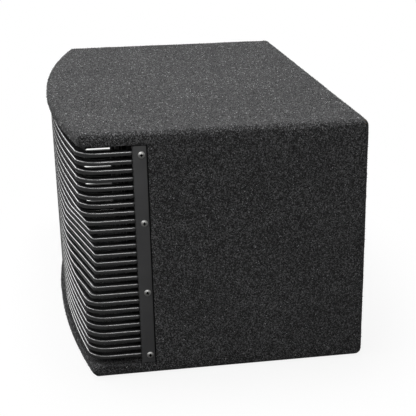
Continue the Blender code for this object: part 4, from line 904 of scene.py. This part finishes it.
def strip(sign):
    """A screw strip, with the wall behind its front edge that the bars grow out of."""
    web = BAR_SIDE - BAR_SECTION["Bar Depth"] - MM
    back = HALF_WIDTH - STRIP_THICKNESS
    outline = [(HALF_WIDTH, STRIP_FRONT), (HALF_WIDTH, STRIP_REAR), (back, STRIP_REAR),
               (back, STRIP_FRONT + WEB_THICKNESS), (web, STRIP_FRONT + WEB_THICKNESS), (web, STRIP_FRONT)]
    form = prism(outline, *STRIP_ENDS)
    ends = [edge for edge in form.edges if near(edge.verts[0].co.z, edge.verts[1].co.z)
            and all(near(end.co.y, STRIP_FRONT) for end in edge.verts)]
    bmesh.ops.bevel(form, geom=ends, offset=STRIP_CORNER, segments=5, profile=0.5, affect='EDGES')
    sharp_edges = [edge for edge in form.edges if edge.calc_face_angle(0) > math.radians(40)]
    bmesh.ops.bevel(form, geom=sharp_edges, offset=STRIP_ROUND, segments=3, profile=0.5, affect='EDGES')
    if sign < 0:
        bmesh.ops.scale(form, vec=(-1, 1, 1), verts=form.verts)
    return form


def rib(place):
    wide, deep, tall = RIB_SIZE
    back = BAR_SECTION["Bar Depth"] - MM
    form = slab((-wide / 2, back - BAR_BOW, -tall), (wide / 2, back + deep - BAR_BOW, tall))
    bmesh.ops.bevel(form, geom=list(form.edges), offset=0.4 * MM, segments=2, profile=0.5, affect='EDGES')
    swing = Matrix.Rotation(math.asin(place / BAR_BOW), 3, 'Z')
    bmesh.ops.rotate(form, cent=(0, 0, 0), matrix=swing, verts=form.verts)
    bmesh.ops.translate(form, vec=(0, BAR_MIDDLE, MIDDLE_HEIGHT), verts=form.verts)
    return form


etched_black = grained("etched_black_moulding", (0.08, 0.08, 0.082), 0.5, 1400, 0.05 * MM,
                       {"Specular IOR Level": 0.4})
for name, sign in (("right", 1), ("left", -1)):
    piece(f"grille_strip_{name}", strip(sign), etched_black, "cabinet", "black_grille_plastic")
for number, place in enumerate(RIB_PLACES, 1):
    piece(f"grille_rib_{number}", rib(place), satin_black, "cabinet", "black_grille_plastic")

# The grille's eight screws: pan heads in blackened steel, four down each strip, driven into the side
# boards.
GRILLE_SCREW = {**WOOFER_SCREW, "Head Radius": 4.0 * MM, "Head Height": 2.2 * MM, "Recess Reach": 2.1 * MM,
                "Recess Width": 1.5 * MM, "Shank Radius": 1.4 * MM, "Shank Length": 11.0 * MM}
names = [f"grille_screw_{side}_{number}" for side in ("right", "left") for number in range(1, 5)]
screw_set("grille_screws", names, [(1, 0, 0)] * 4 + [(-1, 0, 0)] * 4, GRILLE_SCREW, 5)

# The amplifier: an extruded and milled aluminium plate, brushed along its length and anodised black,
# with cooling fins; its circuit board hangs from four pillars behind it.
EASE = 0.35 * MM


def softened(node, finish, body, slot, ease=EASE, steps=2):
    """A copy of a CAD node with its sharp edges eased, in the node's place."""
    form = bmesh.new()
    form.from_mesh(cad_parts[node].data)
    bmesh.ops.remove_doubles(form, verts=form.verts, dist=0.01 * MM)
    bmesh.ops.dissolve_limit(form, angle_limit=math.radians(1), verts=form.verts, edges=form.edges)
    made = piece(f"{node}_finished", form, finish, body, slot, node)
    step = made.modifiers.new("Ease", "BEVEL")
    step.width = ease
    step.segments = steps
    step.limit_method = "ANGLE"
    step.angle_limit = math.radians(40)
    return made


anodised = Finish("black_anodised_aluminium", {"Metallic": 1.0})
brushing = anodised.cloud(220, 3.0, anodised.stretched((0.12, 1.0, 9.0)))
bloom = anodised.cloud(25, 2.0)
tone = anodised.blend(brushing * 0.6 + bloom * 0.4, (0.05, 0.05, 0.052), (0.12, 0.12, 0.125))
anodised.give({"Base Color": tone,
               "Roughness": brushing * 0.25 + 0.28})
anodised.relief(brushing, 0.03 * MM)
softened("amp_plate", anodised, "cabinet", "anodised_aluminium")
laminate = grained("green_solder_mask", (0.015, 0.13, 0.05), 0.35, 600, 0.02 * MM)
dress(laminate, "circuit_board")
transformer = grained("transformer_enamel", (0.42, 0.17, 0.05), 0.4, 700, 0.2 * MM, {"Metallic": 0.6}, 0.4)
dress(transformer, "supply_transformer")
sleeve = grained("capacitor_shrink_sleeve", (0.015, 0.015, 0.05), 0.3, 900, 0.01 * MM)
dress(sleeve, "filter_capacitor_1", "filter_capacitor_2")

# The controls: three rotary knobs pressed on the spindles of their pots, a sliding phase switch and a
# red power lamp, with a ring of white printed ticks round each knob.
KNOB = {"Rib Count": 24, "Rib Width": 0.7 * MM, "Rib Height": 7.2 * MM, "Rib Ring": 6.05 * MM}
KNOB_PROFILE = [(3.3, 0.6), (7.6, 0.6), (8.0, 0.9), (8.0, 2.6), (7.7, 3.0), (6.4, 4.2), (5.75, 11.5),
                (5.4, 12.1), (4.6, 12.2), (4.2, 11.9), (0.0, 11.9), (0.0, 9.8), (3.3, 9.8)]
KNOB_GRIP = 7.6 * MM           # height of the ribs' middle over the plate
POINTER = (0.9 * MM, 4.6 * MM)
POINTER_START = 0.8 * MM
POINTER_ENDS = (11.8 * MM, 12.0 * MM)
TICK_START = math.radians(120)
TICK_SWEEP = math.radians(300)
TICKS = {"Tick Count": 11, "Ring Radius": 10.4 * MM, "Tick Length": 1.8 * MM, "Tick Width": 0.5 * MM}
grey_plastic = grained("grey_switch_plastic", (0.16, 0.16, 0.16), 0.5, 1200, 0.03 * MM)
dress(grey_plastic, "level_pot", "lowpass_pot", "boost_pot", "phase_switch_body")
knob_plastic = grained("black_knob_plastic", (0.02, 0.02, 0.02), 0.42, 1500, 0.03 * MM)
white_print = grained("white_print", (0.75, 0.75, 0.74), 0.6, 1500, 0.01 * MM, None, 0.05)


def knurl_pattern(finish):
    """Grip ribs round a knob, which stands along +Z."""
    tree = Pattern("knob_ribs", {size: type(value) for size, value in KNOB.items()})
    ring = tree.node("GeometryNodeCurvePrimitiveCircle", {}, {
        "Resolution": tree.size("Rib Count"), "Radius": tree.size("Rib Ring")})
    width = tree.size("Rib Width")
    ridge = tree.node("GeometryNodeMeshCylinder", {}, {
        "Vertices": 6, "Radius": width, "Depth": tree.size("Rib Height")})
    ridges = tree.node("GeometryNodeInstanceOnPoints", {}, {"Points": ring, "Instance": ridge})
    tree.end(tree.joined(tree.source, tree.moved(ridges, (0.0, 0.0, KNOB_GRIP))), finish)
    return tree


def tick_pattern(finish):
    """A ring of printed ticks, open at the bottom, round each point."""
    tree = Pattern("dial_ticks", {size: type(value) for size, value in TICKS.items()})
    ring = tree.node("GeometryNodeCurveArc", {}, {
        "Resolution": tree.size("Tick Count"), "Radius": tree.size("Ring Radius"),
        "Start Angle": TICK_START, "Sweep Angle": TICK_SWEEP})
    tick = tree.node("GeometryNodeMeshCube", {}, {
        "Size": tree.vector(tree.size("Tick Width"), tree.size("Tick Length"), 0.1 * MM)})
    along = tree.node("FunctionNodeAlignRotationToVector", {"axis": "X"}, {
        "Vector": tree.node("GeometryNodeInputTangent")})
    ticks = tree.node("GeometryNodeInstanceOnPoints", {}, {
        "Points": ring, "Instance": tick, "Rotation": along})
    aim = tree.node("FunctionNodeAlignRotationToVector", {"axis": "Z"}, {"Vector": tree.attribute("axis")})
    placed = tree.node("GeometryNodeInstanceOnPoints", {}, {
        "Points": tree.source, "Instance": ticks, "Rotation": aim})
    tree.end(placed, finish)
    return tree


PLATE_FACE = 178.8 * MM
KNOB_ROW = 176.0 * MM
to_back = Matrix.Rotation(-math.pi / 2, 4, 'X')
knurl = knurl_pattern(knob_plastic)
dials = []
for name, x in (("level", -98.0 * MM), ("lowpass", -68.0 * MM), ("boost", -38.0 * MM)):
    middle = Vector((x, PLATE_FACE, KNOB_ROW))
    dials.append(middle)
    form = turned([(radius * MM, height * MM) for radius, height in KNOB_PROFILE], 48)
    bmesh.ops.rotate(form, cent=(0, 0, 0), matrix=Matrix.Rotation(math.pi / 2, 3, 'X'), verts=form.verts)
    blank = bpy.data.meshes.new("knob_blank")
    form.to_mesh(blank)
    form.free()
    body = knurl.grow(blank, KNOB)
    body.transform(Matrix.Translation(middle) @ to_back)
    form = bmesh.new()
    form.from_mesh(body)
    piece(f"{name}_knob_ribbed", form, knob_plastic, f"{name}_control", "knob_plastic", f"{name}_knob")
    line = slab((-POINTER[0] / 2, POINTER_ENDS[0], POINTER_START),
                (POINTER[0] / 2, POINTER_ENDS[1], POINTER_START + POINTER[1]))
    piece(f"{name}_knob_pointer", line, white_print, f"{name}_control", "knob_plastic", place=middle)
dial_print = tick_pattern(white_print).grow(dots(dials, [(0, 1, 0)] * 3), TICKS)
mesh_piece("dial_ticks", dial_print, None, "cabinet", "anodised_aluminium")
softened("phase_slider", knob_plastic, "phase_control", "knob_plastic", 0.5 * MM, 3)
lamp_lens = Finish("red_lamp_lens", {"Roughness": 0.12, "Coat Weight": 0.5})
cloudy = lamp_lens.cloud(900, 2.0)
lamp_lens.give({"Base Color": lamp_lens.blend(cloudy, (0.32, 0.01, 0.012), (0.5, 0.03, 0.03))})
dress(lamp_lens, "power_lamp")

# The connections: two nickel-plated phono sockets with coloured insulators, a moulded block of three
# clamp terminals and a blade fuse pressed into its holder.
JACK_FACE = 9.0 * MM
JACK_ROW = 126.0 * MM
CLAMP_MIDDLE = -44.0 * MM
CLAMP_PITCH = 13.0 * MM
CLAMP_SEAT = 11.4 * MM
CLAMP_ROW = 128.0 * MM
nickel = grained("nickel_plate", (0.66, 0.63, 0.56), 0.2, 1200, 0.005 * MM, {"Metallic": 1.0}, 0.1)
softened("line_input_jack", nickel, "cabinet", "jack_nickel", 0.3 * MM)
for name, x, colour in (("red", -99.0 * MM, (0.42, 0.02, 0.02)), ("white", -85.0 * MM, (0.7, 0.7, 0.68))):
    insulator = grained(f"{name}_insulator", colour, 0.4, 1500, 0.01 * MM)
    ring = turned([(1.6 * MM, -0.4 * MM), (3.3 * MM, -0.4 * MM), (3.3 * MM, 0.15 * MM), (3.0 * MM, 0.3 * MM),
                   (1.9 * MM, 0.3 * MM), (1.6 * MM, 0.1 * MM)], 32)
    piece(f"{name}_jack_insulator", ring, insulator, "cabinet", "jack_nickel",
          place=(x, PLATE_FACE + JACK_FACE, JACK_ROW))
softened("power_terminal_block", black_terminal, "cabinet", "terminal_plastic", 0.6 * MM, 3)
clamp_places = [(CLAMP_MIDDLE + CLAMP_PITCH * step, PLATE_FACE + CLAMP_SEAT, CLAMP_ROW)
                for step in (-1, 0, 1)]
clamp_screws = screw_pattern("zinc_screws", zinc).grow(dots(clamp_places, [(0, 1, 0)] * 3), {
    **WOOFER_SCREW, "Head Radius": 3.2 * MM, "Head Height": 1.4 * MM, "Shank Length": 6.0 * MM, "Seed": 9})
mesh_piece("clamp_screws", clamp_screws, None, "cabinet", "screw_steel")
softened("fuse_holder", grey_plastic, "cabinet", "switch_plastic", 0.3 * MM)
fuse_amber = Finish("amber_fuse_plastic", {"Roughness": 0.18, "Coat Weight": 0.3})
swirl = fuse_amber.cloud(300, 3.0)
fuse_amber.give({"Base Color": fuse_amber.blend(swirl, (0.5, 0.17, 0.01), (0.75, 0.36, 0.05))})
softened("fuse", fuse_amber, "cabinet", "fuse_plastic", 0.5 * MM, 3)

# The plate's six screws: the same pan heads, driven through its rim into the rear board.
PLATE_SCREW = {**WOOFER_SCREW, "Head Radius": 3.2 * MM, "Head Height": 2.0 * MM, "Recess Reach": 1.9 * MM,
               "Shank Radius": 1.3 * MM, "Shank Length": 11.0 * MM}
names = [f"plate_screw_{number}" for number in range(1, 7)]
screw_set("plate_screws", names, [(0, 1, 0)] * 6, PLATE_SCREW, 7)

# The studio: a pale floor that shows white to the camera and keeps a soft shadow, a large lamp overhead,
# a weak one behind, and a row from the camera's side round the front that draws the bars' highlights.
FLOOR_GREY = 0.25              # as the part is lit by it
PALE_FLOOR = 0.10              # as gloss shows it
SHADOW_SHARE = 0.12            # how much of the shadow on the floor the camera sees
SHADOW_REACH = (0.36, 0.55)    # where the shadow starts to fade and where it ends


def seen_directly(graph):
    """1 for the rays that show the background or its reflection, 0 for those that light the part."""
    kinds = ("Camera", "Glossy", "Transmission")
    rays = [graph.node("ShaderNodeLightPath", out=f"Is {kind} Ray") for kind in kinds]
    return graph.node("ShaderNodeMath", {"operation": "MINIMUM"}, {0: rays[0] + rays[1] + rays[2], 1: 1.0})


def coat_stage(data, output_kind, graph, surface):
    output = data.node_tree.nodes.new(output_kind)
    graph.feed(output.inputs["Surface"], surface)


floor_form = slab((-6, -6, -0.02), (6, 6, -0.0002))
floor_mesh = bpy.data.meshes.new("studio_floor")
floor_form.to_mesh(floor_mesh)
floor_form.free()
floor = bpy.data.objects.new("studio_floor", floor_mesh)
bpy.context.scene.collection.objects.link(floor)
floor_finish = bpy.data.materials.new("studio_floor")
floor_finish.use_nodes = True
floor_finish.node_tree.nodes.clear()
graph = Graph(floor_finish.node_tree)
direct = graph.node("ShaderNodeLightPath", out="Is Camera Ray")
mirrored = graph.node("ShaderNodeLightPath", out="Is Glossy Ray")
white = seen_directly(graph) * (1.0 - FLOOR_GREY) + mirrored * (PALE_FLOOR - 1.0) + FLOOR_GREY
shade = graph.node("ShaderNodeCombineColor", {}, {0: white, 1: white, 2: white})
lit = graph.node("ShaderNodeBsdfDiffuse", {}, {"Color": shade})
bright = graph.node("ShaderNodeEmission", {}, {"Color": (1.0, 1.0, 1.0, 1.0), "Strength": 1.0})
footprint = graph.node("ShaderNodeVectorMath", {"operation": "MULTIPLY"}, {
    0: graph.node("ShaderNodeTexCoord", out="Object"), 1: (1.0, 1.4, 0.0)})
distance = graph.node("ShaderNodeVectorMath", {"operation": "LENGTH"}, {0: footprint}, "Value")
nearby = graph.node("ShaderNodeMapRange", {"interpolation_type": "SMOOTHSTEP"}, {
    "Value": distance, "From Min": SHADOW_REACH[0], "From Max": SHADOW_REACH[1],
    "To Min": SHADOW_SHARE, "To Max": 0.0})
mixed = graph.node("ShaderNodeMixShader", {}, {0: direct * (1.0 - nearby), 1: lit, 2: bright})
coat_stage(floor_finish, "ShaderNodeOutputMaterial", graph, mixed)
floor_mesh.materials.append(floor_finish)

AIR = 0.03                     # light from all round
PALE = 0.3                     # the backdrop as gloss shows it
world = bpy.data.worlds.new("studio")
bpy.context.scene.world = world
world.use_nodes = True
world.node_tree.nodes.clear()
graph = Graph(world.node_tree)
mirrored = graph.node("ShaderNodeLightPath", out="Is Glossy Ray")
air = graph.node("ShaderNodeBackground", {}, {
    "Color": (1.0, 1.0, 1.0, 1.0),
    "Strength": seen_directly(graph) * (1.0 - AIR) + mirrored * (PALE - 1.0) + AIR})
coat_stage(world, "ShaderNodeOutputWorld", graph, air)


def lamp(name, place, target, width, depth, power):
    light = bpy.data.lights.new(name, "AREA")
    light.shape = "RECTANGLE"
    light.size = width
    light.size_y = depth
    light.energy = power
    made = bpy.data.objects.new(name, light)
    made.location = place
    made.rotation_euler = (Vector(target) - Vector(place)).to_track_quat('-Z', 'Y').to_euler()
    bpy.context.scene.collection.objects.link(made)


lamp("overhead_lamp", (0.0, -0.1, 1.9), (0.0, 0.0, 0.2), 0.9, 0.9, 25.0)
lamp("side_lamp", (2.1, -0.05, 1.0), (0.29, -0.12, 0.15), 0.3, 1.0, 5.3)
lamp("corner_lamp", (1.55, -1.0, 1.3), (0.28, -0.15, 0.2), 1.3, 0.5, 7.0)
lamp("fill_lamp", (2.6, 0.1, 1.1), (0.29, 0.0, 0.15), 1.8, 1.2, 0.2)
lamp("front_lamp", (0.0, -1.7, 1.66), (0.2, -0.15, 0.2), 1.3, 0.6, 9.5)
lamp("quarter_lamp", (-0.9, -1.76, 1.35), (0.2, -0.16, 0.2), 0.7, 0.6, 6.3)
lamp("far_lamp", (-1.75, -1.4, 0.75), (0.2, -0.16, 0.2), 0.9, 0.6, 8.0)
lamp("back_lamp", (-0.6, 2.2, 1.4), (0.0, 0.0, 0.2), 1.2, 1.0, 8.0)

# The camera: to the right of the box and a little above it, with a long lens.
CAMERA_PLACE = Vector((1.35770, -0.16134, 0.57042))
CAMERA_TURN = 0.154768
CAMERA_TILT = 0.351129
CAMERA_ROLL = 0.015713
CAMERA_LENS = 85.909
CAMERA_SHIFT = (-0.03837, 0.06)
level = math.cos(CAMERA_TILT)
ahead = Vector((-level * math.cos(CAMERA_TURN), level * math.sin(CAMERA_TURN), -math.sin(CAMERA_TILT)))
right = ahead.cross(Vector((0, 0, 1))).normalized()
down = ahead.cross(right)
rolled_right = right * math.cos(CAMERA_ROLL) + down * math.sin(CAMERA_ROLL)
rolled_down = down * math.cos(CAMERA_ROLL) - right * math.sin(CAMERA_ROLL)
lens = bpy.data.cameras.new("photo_camera")
lens.sensor_width = 36.0
lens.lens = CAMERA_LENS
lens.shift_x, lens.shift_y = CAMERA_SHIFT
camera = bpy.data.objects.new("photo_camera", lens)
camera.matrix_world = Matrix.Translation(CAMERA_PLACE) @ Matrix(
    (rolled_right, -rolled_down, -ahead)).transposed().to_4x4()
bpy.context.scene.collection.objects.link(camera)
bpy.context.scene.camera = camera
bpy.context.scene.view_settings.view_transform = "Standard"
